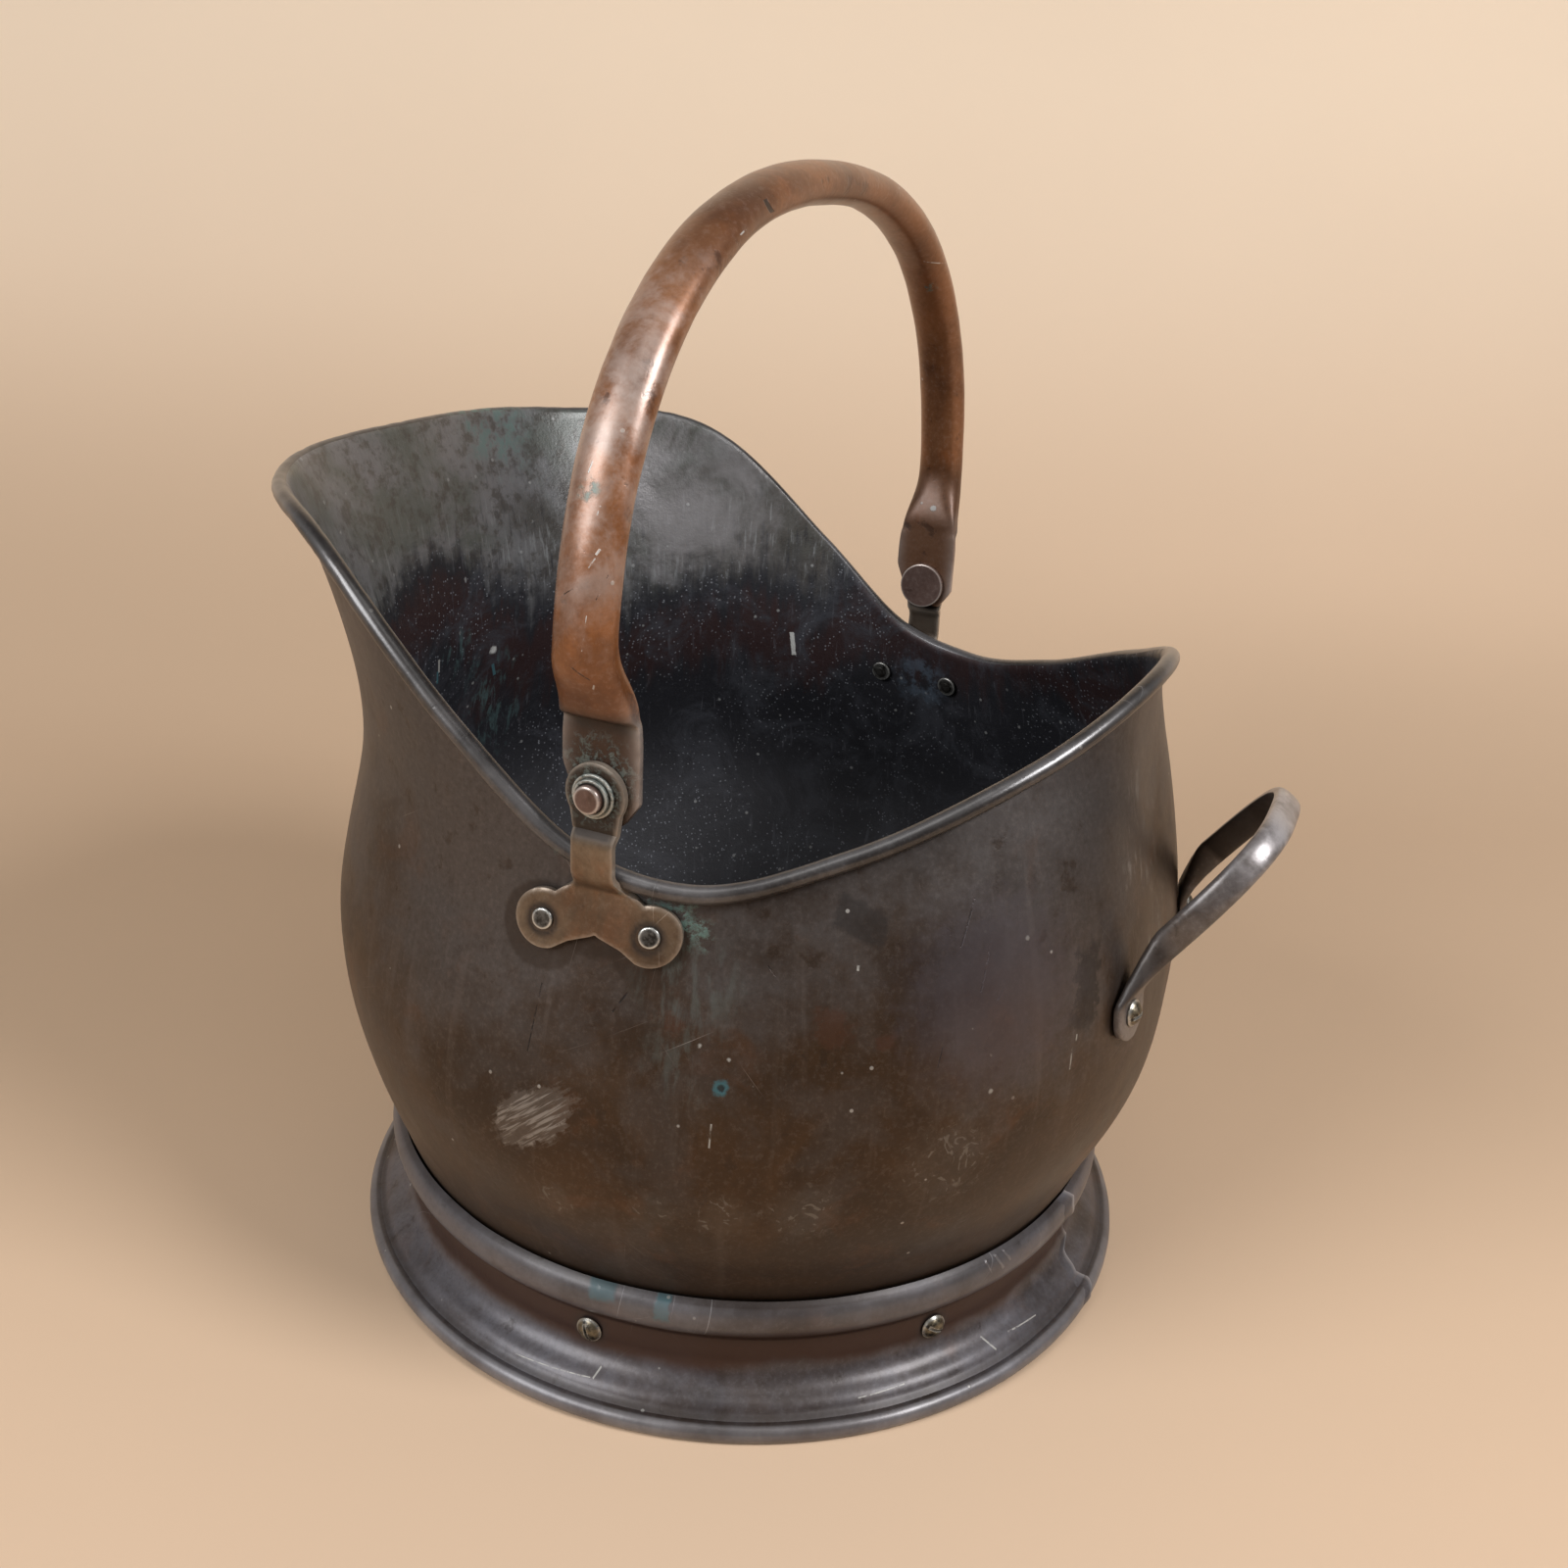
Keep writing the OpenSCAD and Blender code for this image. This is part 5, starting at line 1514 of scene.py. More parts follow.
@dataclass
class Foot:
    """The turned foot: collar, neck for the bolts, flare and rolled bottom edge."""

    sheet: float = 1.2
    neck_r: float = 138.5
    collar_r: float = 144.6
    collar_h: float = 41.5
    outer_r: float = 155.4
    bead_r: float = 3.6
    worn: float = 0.3
    bolt_h: float = 24.5
    collar_round: float = 9.2
    cove_round: float = 11.0
    flare_round: float = 9.0

    def line(self, inwards: float) -> list[Pair]:
        """The outside from the collar's top to the groove, or a line that far inwards of it.

        Args:
            inwards: How far inwards.

        Returns:
            Points as (r, z).
        """
        collar = (self.collar_r - self.collar_round, self.collar_h)
        cove = (self.neck_r + self.cove_round, self.bolt_h - 2.5)
        reach, turn = self.cove_round + self.flare_round, 245.0
        flare = (cove[0] + reach * math.cos(math.radians(turn)), cove[1] + reach * math.sin(math.radians(turn)))
        return (arc(collar, self.collar_round - inwards, 55, -55, 24)
                + [(self.neck_r - inwards, collar[1] - 10.5)]
                + arc(cove, self.cove_round + inwards, 180, turn, 16)
                + arc(flare, self.flare_round - inwards, turn - 190, turn - 215, 8))

    def outline(self) -> list[Pair]:
        """The sheet's whole section, from the collar's top down, round the roll and back inside.

        Returns:
            Points as (r, z).
        """
        bead = (self.outer_r - self.bead_r, self.bead_r - self.worn)
        roll = self.bead_r - self.sheet
        outer = [(r, max(0.0, z)) for r, z in arc(bead, self.bead_r, 105, -160, 40)]
        return (self.line(0.0) + outer + arc(bead, roll, -160, 140, 24) + self.line(self.sheet)[::-1]
                + [self.line(0.0)[0]])

    def build(self, lathe: Lathe, copper: Material) -> Piece:
        """Turns the foot and gives its sheet the marks that its finish reads.

        Args:
            lathe: What turns it.
            copper: Its finish.

        Returns:
            The foot.
        """
        piece = lathe.turn("foot", self.outline(), 480, 190, copper, (0.0, FOOT_Y, 0.0))
        mesh = piece.data
        points = read_points(mesh) - np.array([0.0, FOOT_Y / MM, 0.0])
        r, z = np.hypot(points[:, 0], points[:, 1]), points[:, 2]
        radial = points * np.array([1, 1, 0]) / r[:, None]
        wave = 0.35 * soft_noise(points, 45.0, 2.2) + 0.18 * soft_noise(points, 17.0, 6.1)
        lip = ease((r - 150.0) / 4.0)
        free = ease(np.abs(z - self.bolt_h) / 6.0) * ease((z - 1.0) / 4.0)
        points = points + radial * (np.minimum(wave, 0.0) * free)[:, None]
        lift = np.zeros_like(points)
        lift[:, 2] = 0.12 * soft_noise(points, 30.0, 4.4) * free
        points = points + lift
        mesh.vertices.foreach_set("co", metres(points).ravel())
        outside = bell(r, 143.8, 1.6) * (np.abs(z - self.collar_h) < 6) * 0.2
        set_mark(mesh, "worn", np.clip(outside + lip * 0.42 * (r > 152.5), 0, 1))
        # Painted shade under the collar, in the groove above the roll and at the collar's top by the wall.
        corner = bell(z, 33.0, 2.2) * 0.5 + bell(z, 7.4, 1.0) * 0.6 * (r > 148)
        set_mark(mesh, "dusk", np.clip(corner + ease((z - 46.0) / 3.0) * 0.6, 0, 1))
        girth = np.arctan2(points[:, 0], points[:, 1]) * FOOT_GIRTH
        set_sheet_place(mesh, np.stack([girth, (z + r) * MM], -1))
        mesh.update()
        settle(piece, Body.SCUTTLE, "foot_copper", "foot_skirt")
        return piece


# ---------------------------------------------------------------- fixings


@dataclass
class FootSeam:
    """The lap of the foot's sheet: one edge lies over the other, from the collar down to the roll."""

    foot: Foot
    step: float = 0.6
    taper: float = 3.0
    heights: tuple[float, ...] = (3.0, 4.6, 6.9, 9.8, 14.7, 17.0, 24.5, 33.0, 43.4, 46.0, 48.7, 50.0)
    turns: tuple[float, ...] = (5.2, 4.8, 3.0, 4.1, 2.6, -0.4, 1.6, 4.6, 6.1, 5.4, 6.7, 6.9)

    def build(self, copper: Material) -> Piece:
        """Makes the lap as a thin wedge that follows the foot's outside.

        Args:
            copper: Its finish.

        Returns:
            The lap.
        """
        bead = (self.foot.outer_r - self.foot.bead_r, self.foot.bead_r - self.foot.worn)
        path = np.array(self.foot.line(0.0) + arc(bead, self.foot.bead_r, 100, -8, 18))
        size = length_along(path)
        at = np.arange(0.0, size[-1], 0.35)
        r, z = (np.interp(at, size, path[:, k]) for k in (0, 1))
        along = np.stack([np.gradient(r), np.gradient(z)], -1)
        along /= np.linalg.norm(along, axis=1)[:, None]
        edge = np.interp(z, self.heights, self.turns) + 0.10 * soft_noise(np.stack([r, z, z], -1), 2.5, 1.0)
        section = np.array([(self.taper, -0.15), (self.taper * 0.6, self.step * 0.25),
                            (self.taper * 0.3, self.step * 0.6), (0.12, self.step), (0.03, self.step * 0.9),
                            (0.0, self.step * 0.6), (-0.02, -0.4), (self.taper, -0.5)])
        turn = np.radians(edge[:, None] + section[:, 0])
        out_r = r[:, None] - along[:, 1:] * section[:, 1]
        out_z = np.maximum(z[:, None] + along[:, :1] * section[:, 1], 0.4)
        points = np.stack([out_r * np.sin(turn), out_r * np.cos(turn), out_z], -1)
        count, sides = points.shape[:2]
        piece = add_piece("foot_seam", points.reshape(-1, 3), tube_faces(count, sides), [copper], 30.0)
        face_outwards(piece.data)
        set_mark(piece.data, "worn", np.tile([0, 0, 0.1, 1, 1, 0.6, 0, 0], count))
        # Painted shade along the underside of the lap.
        set_mark(piece.data, "dusk", np.tile([0, 0, 0, 0, 0, 0.0, 1, 1], count))
        set_sheet_place(piece.data, np.stack([turn * FOOT_GIRTH, (out_z + out_r) * MM], -1).reshape(-1, 2))
        settle(piece, Body.SCUTTLE, "foot_copper")
        return piece


@dataclass
class RoundHeadBolt:
    """A slotted round-head bolt, along +Z from its seat."""

    shank_d: float = 4.0
    head_d: float = 9.5
    head_h: float = 3.0
    slot_w: float = 1.15
    slot_deep: float = 1.2
    shank: float = 9.0

    def mesh(self, lathe: Lathe, name: str, material: Material) -> Piece:
        """Makes one bolt, with its marks.

        Args:
            lathe: What turns it.
            name: Its name.
            material: Its finish.

        Returns:
            The bolt, at the origin.
        """
        half = self.head_d / 2
        ball = (half**2 + self.head_h**2) / (2 * self.head_h)
        reach = math.degrees(math.asin(half / ball))
        dome = arc((0.0, self.head_h - ball), ball, 90, 90 - reach * 0.94, 16)
        rim = [(half, 0.55), (half, 0.2), (half - 0.25, 0.0)]
        outline = dome + rim + [(self.shank_d / 2, 0.0), (self.shank_d / 2, -self.shank), (0.0, -self.shank)]
        piece = lathe.turn(name, outline, 56, 60, material)
        size = Vector((self.head_d * 1.2, self.slot_w, self.slot_deep * 2))
        work = bmesh.new()
        bmesh.ops.create_cube(work, size=1.0)
        for vert in work.verts:
            vert.co = (vert.co * size + Vector((0.0, 0.0, self.head_h))) * MM
        cut_out(piece, name + "_slot", work)
        run_modifier(piece, "BEVEL", width=0.00012, segments=2, limit_method="ANGLE", angle_limit=math.radians(40))
        mesh = piece.data
        (r, z), off_slot = read_round(mesh), np.abs(read_points(mesh)[:, 1])
        slot = (off_slot < self.slot_w * 0.62) & (z > 0.1) & (r < half)
        floor = slot & (z < self.head_h - self.slot_deep * 0.6)
        # Painted shade in the slot's floor and under the head.
        set_mark(mesh, "dusk", np.where(floor, 1.0, 0.0) + (z < 0.15) * 0.7)
        lip = np.abs(off_slot - self.slot_w / 2) < 0.12
        set_mark(mesh, "worn", np.where(lip & (r < half * 0.9), 0.7, 0.0) + bell(r, half * 0.93, 0.35) * 0.8)
        if not mesh.materials:
            mesh.materials.append(material)
        smooth(mesh, FIXING_EDGE)
        return piece


@dataclass
class Rivet:
    """A rivet with a low round head, closed over a ring-shaped rove on the wall's inner side; Z outwards."""

    face: float
    inner: float
    shank_r: float = 2.0
    head_r: float = 3.5
    rove_r: float = 4.5
    rove_t: float = 0.9

    def mesh(self, lathe: Lathe, material: Material) -> Piece:
        """Makes the rivet.

        Args:
            lathe: What turns it.
            material: Its finish.

        Returns:
            The rivet, at the origin.
        """
        face, inner = self.face, self.inner
        head = [(0.0, face + 1.0), (2.5, face + 1.0), (3.1, face + 0.92), (3.4, face + 0.7),
                (self.head_r, face + 0.35), (self.head_r, face), (self.shank_r, face),
                (self.shank_r, inner - self.rove_t), (2.45, inner - 1.5), (1.9, inner - 1.75), (0.0, inner - 1.8)]
        piece = lathe.turn("rivet_pattern", head, 48, 70, material)
        r, z = read_round(piece.data)
        set_mark(piece.data, "worn", bell(r, 3.05, 0.28) * (z > face + 0.5))
        # Painted shade under the head's rim; the head's middle is darkened too.
        set_mark(piece.data, "dusk", (z < face + 0.3) * 0.8 + (r < 2.3) * (z > face) * 0.35)
        return piece

    def rove(self, lathe: Lathe, material: Material) -> Piece:
        """Makes the rove.

        Args:
            lathe: What turns it.
            material: Its finish.

        Returns:
            The rove, where it belongs on the rivet.
        """
        low, high = self.inner - self.rove_t, self.inner
        ring = [(2.05, low + 0.15), (2.3, low), (4.1, low - 0.1), (self.rove_r, low + 0.25), (self.rove_r, high),
                (2.05, high), (2.05, low + 0.15)]
        piece = lathe.turn("rove_pattern", ring, 40, 40, material)
        r, z = read_round(piece.data)
        set_mark(piece.data, "worn", bell(r, 4.1, 0.35) * (z < low + 0.2) * 0.5)
        # Painted shade over the whole rove.
        set_mark(piece.data, "dusk", np.full(len(z), 0.35))
        return piece


class BoltRing:
    """Sets bolts round a neck, each with its slot turned its own way, by geometry nodes."""

    def __init__(self) -> None:
        """Writes the tree."""
        sheet = GrowSheet("bolt_ring")
        count, radius = sheet.size("Count", "Int"), sheet.size("Radius")
        height, first = sheet.size("Height"), sheet.size("First Angle")
        seed, middle = sheet.size("Seed", "Int"), sheet.size("Middle", "Vector")
        material = sheet.size("Material", "Material")
        points = sheet.node("GeometryNodePoints", {}, {"Count": count})
        index = Signal(sheet, sheet.node("GeometryNodeInputIndex").outputs[0])
        turn = first - index * (2 * math.pi) / count
        place = sheet.node("ShaderNodeCombineXYZ", {}, {
            "X": sheet.maths("COSINE", turn) * radius, "Y": sheet.maths("SINE", turn) * radius, "Z": height})
        moved = sheet.node("ShaderNodeVectorMath", {"operation": "ADD"}, {0: place.outputs[0], 1: middle})
        placed = sheet.node("GeometryNodeSetPosition", {}, {
            "Geometry": points.outputs[0], "Position": moved.outputs[0]})
        facing = sheet.node("ShaderNodeCombineXYZ", {}, {"X": 0.0, "Y": math.pi / 2, "Z": turn})
        rotation = sheet.node("FunctionNodeEulerToRotation", {}, {0: facing.outputs[0]})
        spin = sheet.node("FunctionNodeRandomValue", {"data_type": "FLOAT"}, {"Min": 0.2, "Max": 1.4, "Seed": seed})
        own = sheet.node("ShaderNodeCombineXYZ", {}, {"Z": spin.outputs["Value"]
                                                    if spin.outputs[0].type != "VALUE" else spin.outputs[1]})
        set_on = sheet.node("GeometryNodeInstanceOnPoints", {}, {
            "Points": placed.outputs[0], "Instance": sheet.entry.outputs[0], "Rotation": rotation.outputs[0]})
        turned = sheet.node("GeometryNodeRotateInstances", {}, {
            "Instances": set_on.outputs[0], "Rotation": own.outputs[0], "Local Space": True})
        sheet.close(turned.outputs[0], material)
        self.sheet = sheet


class SetOnPlate:
    """Sets one shape at each point of a mesh, square to that point's own way out, by geometry nodes."""

    def __init__(self) -> None:
        """Writes the tree."""
        sheet = GrowSheet("set_on_plate")
        shape, material = sheet.size("Shape", "Object"), sheet.size("Material", "Material")
        info = sheet.node("GeometryNodeObjectInfo", {"transform_space": "ORIGINAL"}, {"Object": shape})
        out = sheet.node("GeometryNodeInputNamedAttribute", {"data_type": "FLOAT_VECTOR"}, {"Name": "out"})
        align = sheet.node("FunctionNodeAlignRotationToVector", {"axis": "Z"}, {"Vector": out.outputs[0]})
        points = sheet.node("GeometryNodeMeshToPoints", {}, {"Mesh": sheet.entry.outputs[0]})
        placed = sheet.node("GeometryNodeInstanceOnPoints", {}, {
            "Points": points.outputs[0], "Instance": info.outputs["Geometry"], "Rotation": align.outputs[0]})
        sheet.close(placed.outputs[0], material)
        self.sheet = sheet

    def place(self, name: str, shape: Piece, spots: Array, out: Array,
              material: Material) -> Piece:
        """Sets the shape on spots in millimetres, along the directions out.

        Args:
            name: The result's name.
            shape: The shape, with Z outwards.
            spots: The spots.
            out: The directions.
            material: The finish.

        Returns:
            The set shapes as one piece.
        """
        mesh = bpy.data.meshes.new(name + "_spots")
        mesh.from_pydata(metres(spots).tolist(), [], [])
        layer = mesh.attributes.new("out", "FLOAT_VECTOR", "POINT")
        layer.data.foreach_set("vector", np.asarray(out, np.float32).ravel())
        piece = self.sheet.grow(name, mesh, {"Shape": shape, "Material": material})
        smooth(piece.data, FIXING_EDGE)
        return piece


# ---------------------------------------------------------------- the bail


@dataclass
class Bail:
    """The oval tube bent to an arch, its ends pressed flat and drilled for the pins."""

    ear_x: float = 142.0
    half_w: float = 153.0
    crown: float = 167.7
    leg: float = 25.0
    power: float = 2.35
    deep: float = 14.2
    wide: float = 19.5
    ear_w: float = 26.0
    ear_t: float = 3.4
    ear_flat: float = 22.0
    full: float = 45.0
    ear_drop: float = 9.0
    pin_hole_r: float = 4.58
    bent_at: float = 40.0
    tube_at: float = 56.0
    sides: int = 48
    arch_steps: int = 110
    sharp: float = 34.0

    def leg_x(self, height: float) -> float:
        """Middle of the tube at a height above the pivot.

        Args:
            height: Height above the pivot.

        Returns:
            Its distance from the middle plane.
        """
        if height <= self.leg:
            return self.half_w
        return self.half_w * (1 - ((height - self.leg) / (self.crown - self.leg)) ** self.power) ** (1 / self.power)

    def stations(self) -> list[tuple[float, float, float, float]]:
        """One half from its foot to the crown: x and height of the middle, half depth, half width.

        Returns:
            The stations.
        """
        rows = []
        for height in np.concatenate([np.arange(-self.ear_drop, 12, 1.2), np.arange(12, 56, 0.7)]):
            outer = float(ease(np.array((height - self.ear_flat + 1) / (self.full - self.ear_flat)))) * 0.72
            outer += 0.28 * float(ease(np.array((height - self.ear_flat) / 3.0)))
            inner = float(ease(np.array((height - 27.0) / 25.0)))
            if height > 54:
                outer = inner = 1.0
            x = self.leg_x(float(height))
            far = self.ear_x + self.ear_t / 2 + (x + self.deep / 2 - self.ear_x - self.ear_t / 2) * outer
            near = self.ear_x - self.ear_t / 2 + (x - self.deep / 2 - self.ear_x + self.ear_t / 2) * inner
            wide = self.ear_w + (self.wide - self.ear_w) * float(ease(np.array((height - 14.0) / 34.0)))
            rows.append(((far + near) / 2, float(height), (far - near) / 2, wide / 2))
        start = math.asin(((56 - self.leg) / (self.crown - self.leg)) ** (self.power / 2))
        for w in np.linspace(start, math.pi / 2, self.arch_steps):
            c, s = max(math.cos(w), 0.0), math.sin(w)
            rows.append((self.half_w * c ** (2 / self.power),
                         self.leg + (self.crown - self.leg) * s ** (2 / self.power), self.deep / 2, self.wide / 2))
        return rows

    def trim(self, height: float) -> Pair:
        """How far the flattened end reaches towards the spout and the back at a height.

        Args:
            height: Height above the pivot.

        Returns:
            Both reaches.
        """
        half = self.ear_w / 2
        front = np.interp(height, [-9.0, -2.0, 8.5], [-6.0, -8.4, -half])
        back = np.interp(height, [-9.0, -2.0], [8.0, half])
        return float(front), float(back)

    def _ring(self, station: Array, normal: Array) -> tuple[Array, Array]:
        """One cross-section: an oval, or a slab with round edges where it is pressed flat.

        Args:
            station: x and height of its middle, half its depth and half its width.
            normal: The way out of the arch there, as (x, z).

        Returns:
            Its points, and how far each lies towards the back.
        """
        x, h, deep, wide = station
        if h < self.tube_at:
            level = np.array([math.copysign(1.0, x), 0.0])
            normal = level + (normal - level) * float(ease(np.array((h - self.bent_at) / 16.0)))
            normal = normal / np.linalg.norm(normal)
        turns = np.linspace(0, 2 * math.pi, self.sides, endpoint=False)
        c, s = np.cos(turns), np.sin(turns)
        inner = 1 - float(ease(np.array((h - 27.0) / 25.0)))
        outwards = c * np.sign(x + 1e-9) * np.sign(normal[0] + 1e-9) > 0
        pressed = np.where(outwards, max(self._flatness(deep), 0.0), inner)
        across = deep * np.sign(c) * np.abs(c) ** (1 - 0.72 * pressed ** 1.5)
        side = wide * np.sign(s) * np.abs(s) ** (1 - 0.6 * pressed)
        if h < 9:
            front, back = self.trim(float(h))
            side = np.clip(side, front, back)
        return np.stack([x + across * normal[0], PIVOT.y + side, PIVOT.z + h + across * normal[1]], -1), side

    def _flatness(self, deep: float) -> float:
        """1 where the end is pressed flat, 0 on the tube, from half the depth."""
        return 1 - (deep - self.ear_t / 2) / (self.deep / 2 - self.ear_t / 2)

    def _uneven(self, points: Array, stations: Array) -> Array:
        """Gives the tube its hand-made waves, and each end the pit on its inner side.

        Args:
            points: The points, ring by ring.
            stations: One row for each ring.

        Returns:
            The moved points.
        """
        middle = np.stack([stations[:, 0], np.full(len(stations), PIVOT.y), stations[:, 1] + PIVOT.z], -1)
        way = points - np.repeat(middle, self.sides, 0)
        way /= np.maximum(np.linalg.norm(way, axis=1)[:, None], 1e-6)
        tube = ease((np.repeat(stations[:, 1], self.sides) - 30.0) / 20.0)
        waves = 0.32 * soft_noise(points, 34.0, 7.7) + 0.16 * soft_noise(points, 12.0, 2.5) - 0.08
        points = points + way * (np.minimum(0.0, waves) * tube)[:, None]
        leg = self.leg_x(self.bent_at)
        for sign in (1, -1):
            pit = np.array([sign * (leg - 5.0), PIVOT.y, PIVOT.z + self.bent_at])
            gap = np.linalg.norm(points - pit, axis=1)
            points[:, 0] += sign * 1.1 * bell(gap, 0.0, 2.6) * (points[:, 0] * sign < leg)
        return points

    def build(self, copper: Material) -> Piece:
        """Makes the bail.

        Args:
            copper: Its finish.

        Returns:
            The bail.
        """
        half = np.array(self.stations())
        full = np.concatenate([half, half[-2::-1] * np.array([-1, 1, 1, 1])])
        path = full[:, :2]
        along = np.gradient(path, axis=0)
        along /= np.linalg.norm(along, axis=1)[:, None]
        out = np.stack([along[:, 1], -along[:, 0]], -1)
        turns = np.linspace(0, 2 * math.pi, self.sides, endpoint=False)
        rings, worn, dusk = [], [], []
        for station, normal in zip(full, out):
            ring, side = self._ring(station, normal)
            x, h, deep, wide = station
            rings.append(ring)
            worn.append(np.clip(np.abs(side) / wide, 0, 1) ** 6 * max(self._flatness(deep), 0.0))
            # Painted shade: low on the near end, on the outer face under the step where the tube is pressed flat,
            # and over the far leg's lower half, where it also damps the highlight.
            low = 0.95 * float(ease(np.array((28.0 - h) / 9.0)))
            if x < 0:
                low = 0.62 * float(ease(np.array((62.0 - h) / 20.0)))
            dusk.append(np.full(self.sides, bell(h, 24.0, 3.5) * 0.6) * (np.cos(turns) > 0) + low)
        count = len(rings)
        points = self._uneven(np.array(rings).reshape(-1, 3), full)
        piece = add_piece("bail_tube", points, tube_faces(count, self.sides), [copper], self.sharp)
        set_mark(piece.data, "worn", np.array(worn).ravel() * 0.6)
        set_mark(piece.data, "dusk", np.array(dusk).ravel())
        length = np.repeat(length_along(path), self.sides)
        set_sheet_place(piece.data, np.stack([np.tile(turns, count) * TUBE_GIRTH, length * MM], -1))
        face_outwards(piece.data)
        self._drill(piece)
        smooth(piece.data, self.sharp)
        settle(piece, Body.BAIL, "bail_copper", "bail")
        return piece

    def _drill(self, piece: Piece) -> None:
        """Drills the pins' holes through both ends.

        Args:
            piece: The bail.
        """
        work, radius = bmesh.new(), self.pin_hole_r * MM
        bmesh.ops.create_cone(work, cap_ends=True, segments=64, radius1=radius, radius2=radius, depth=0.4,
                              matrix=at_pivot(1))
        cut_out(piece, "pin_drill", work)


# ---------------------------------------------------------------- the brackets


@dataclass
class Bracket:
    """A strap forged to an eye, a kinked neck and a two-lobed plate that is riveted to the wall."""

    body: HelmetBody
    thick: float = 2.6
    eye_r: float = 10.0
    neck: float = 7.0
    drop: float = 44.0
    pitch: float = 34.0
    lobe_r: float = 9.5
    eye_x: float = 144.0
    over_rim_x: float = 146.0
    seat: float = 0.35

    def half_outline(self) -> list[Pair]:
        """The edge at one side, from the eye's top down to the notch between the lobes.

        Returns:
            Points as (y, z) from the pivot.
        """
        lobe = (self.pitch / 2, -self.drop)
        points = arc((0.0, 0.0), self.eye_r, 90, -32, 22)
        points += [(self.neck + 0.35, -13.0), (self.neck, -16.0), (self.neck + 0.1, -20.0)]
        points += arc((self.neck + 8.1, -25.5), 8.0, 178, 236, 10)
        points += arc(lobe, self.lobe_r, 108, -112, 34)
        points += [(lobe[0] * 0.5, -self.drop - 5.6), (1.2, -self.drop - 2.9), (0.0, -self.drop - 2.2)]
        return points

    def back_x(self, y: Array, z: Array) -> Array:
        """How far out the strap's back lies at places of its outline.

        Args:
            y: Places along Y.
            z: Heights.

        Returns:
            The distances from the middle.
        """
        y, depth = np.asarray(y, float), np.asarray(z, float) - PIVOT.z
        wall = self.body.wall_x(y, PIVOT.z + np.minimum(depth, -28.0)) + self.seat
        over = self.eye_x + (self.over_rim_x - self.eye_x) * ease((-12.0 - depth) / 3.2)
        return over + (wall - over) * ease((-24.0 - depth) / 9.0)

    def build(self, side: Side, copper: Material) -> Piece:
        """Makes one bracket.

        Args:
            side: The side.
            copper: Its finish.

        Returns:
            The bracket.
        """
        half = self.half_outline()
        edge = half[:-1] + [(-y, z) for y, z in half[::-1]][:-1]
        edge = self._spaced(edge, 0.7)
        count = len(edge)
        lattice = [(y, z) for z in np.arange(-self.drop - 11, 11, 1.1) for y in np.arange(-28, 28, 1.1)
                   if self._inside((y, z), edge, 0.55)]
        flat = [Vector(p) for p in edge] + [Vector(p) for p in lattice]
        loops = [(i, (i + 1) % count) for i in range(count)]
        verts, _, tris, _, _, _ = geometry.delaunay_2d_cdt(flat, loops, [], 1, 1e-5)
        total = len(verts)
        gap = np.array([min(math.hypot(v.x - e[0], v.y - e[1]) for e in edge) for v in verts])
        fall = np.where(gap < 0.6, 0.6 - np.sqrt(np.maximum(0.36 - (0.6 - gap) ** 2, 0.0)), 0.0) * 0.7
        y, z = PIVOT.y + np.array([v.x for v in verts]), PIVOT.z + np.array([v.y for v in verts])
        place, normal = np.stack([self.back_x(y, z), y, z], -1), self.way_out(y, z)
        front = place + normal * (self.thick - fall)[:, None]
        rear = place + normal * (fall * 0.4)[:, None]
        points = np.concatenate([front, rear]) * np.array([side.value, 1, 1])
        faces = [tuple(t) for t in tris] + [tuple(i + total for i in reversed(t)) for t in tris]
        faces += [(i, i + total, j + total, j) for i, j in loops]
        piece = add_piece(f"{side.word}_bracket_strap", points, faces, [copper], 42.0)
        face_outwards(piece.data)
        depth = points[:, 2] - PIVOT.z
        rim = np.tile(bell(gap, 0.0, 0.7), 2)
        rear_face = np.repeat([0.0, 1.0], total)
        # Painted highlight: a pale line along the bend of the rear face, laid through the worn mark.
        bent = rear_face * bell(depth, -13.0, 1.3)
        set_mark(piece.data, "worn", np.clip(rim * 0.6 + bent * 0.5, 0, 1))
        rivets = np.minimum(np.hypot(points[:, 1] - PIVOT.y - 17, depth + self.drop),
                            np.hypot(points[:, 1] - PIVOT.y + 17, depth + self.drop))
        # Painted shade: round the rivet heads, along the lower bend, round the eye, across the kink's front where
        # it damps the highlight, over the rear face and towards the plate's foot.
        dusk = bell(rivets, 4.4, 1.1) * 0.8 + bell(depth, -30.5, 1.4) * 0.5
        eye = ease((15.0 - np.hypot(points[:, 1] - PIVOT.y, depth)) / 4.0)
        bend = bell(depth, -13.0, 2.2) * 0.8 * (1 - rear_face)
        low = ease((-33.0 - depth) / 6.0) * 0.22
        set_mark(piece.data, "dusk", np.clip(dusk + eye + bend + rear_face * 0.85 + low, 0, 1))
        set_sheet_place(piece.data, points[:, 1:] * MM)
        smooth(piece.data, 42.0)
        settle(piece, Body.SCUTTLE, "bail_copper", f"{side.word}_bracket")
        return piece

    def way_out(self, y: Array, z: Array) -> Array:
        """Ways square to the strap's back.

        Args:
            y: Places along Y.
            z: Heights.

        Returns:
            Ways of length 1.
        """
        dy = (self.back_x(y + 1, z) - self.back_x(y - 1, z)) / 2
        dz = (self.back_x(y, z + 1) - self.back_x(y, z - 1)) / 2
        way = np.stack([np.ones_like(dy), -dy, -dz], -1)
        return way / np.linalg.norm(way, axis=-1, keepdims=True)

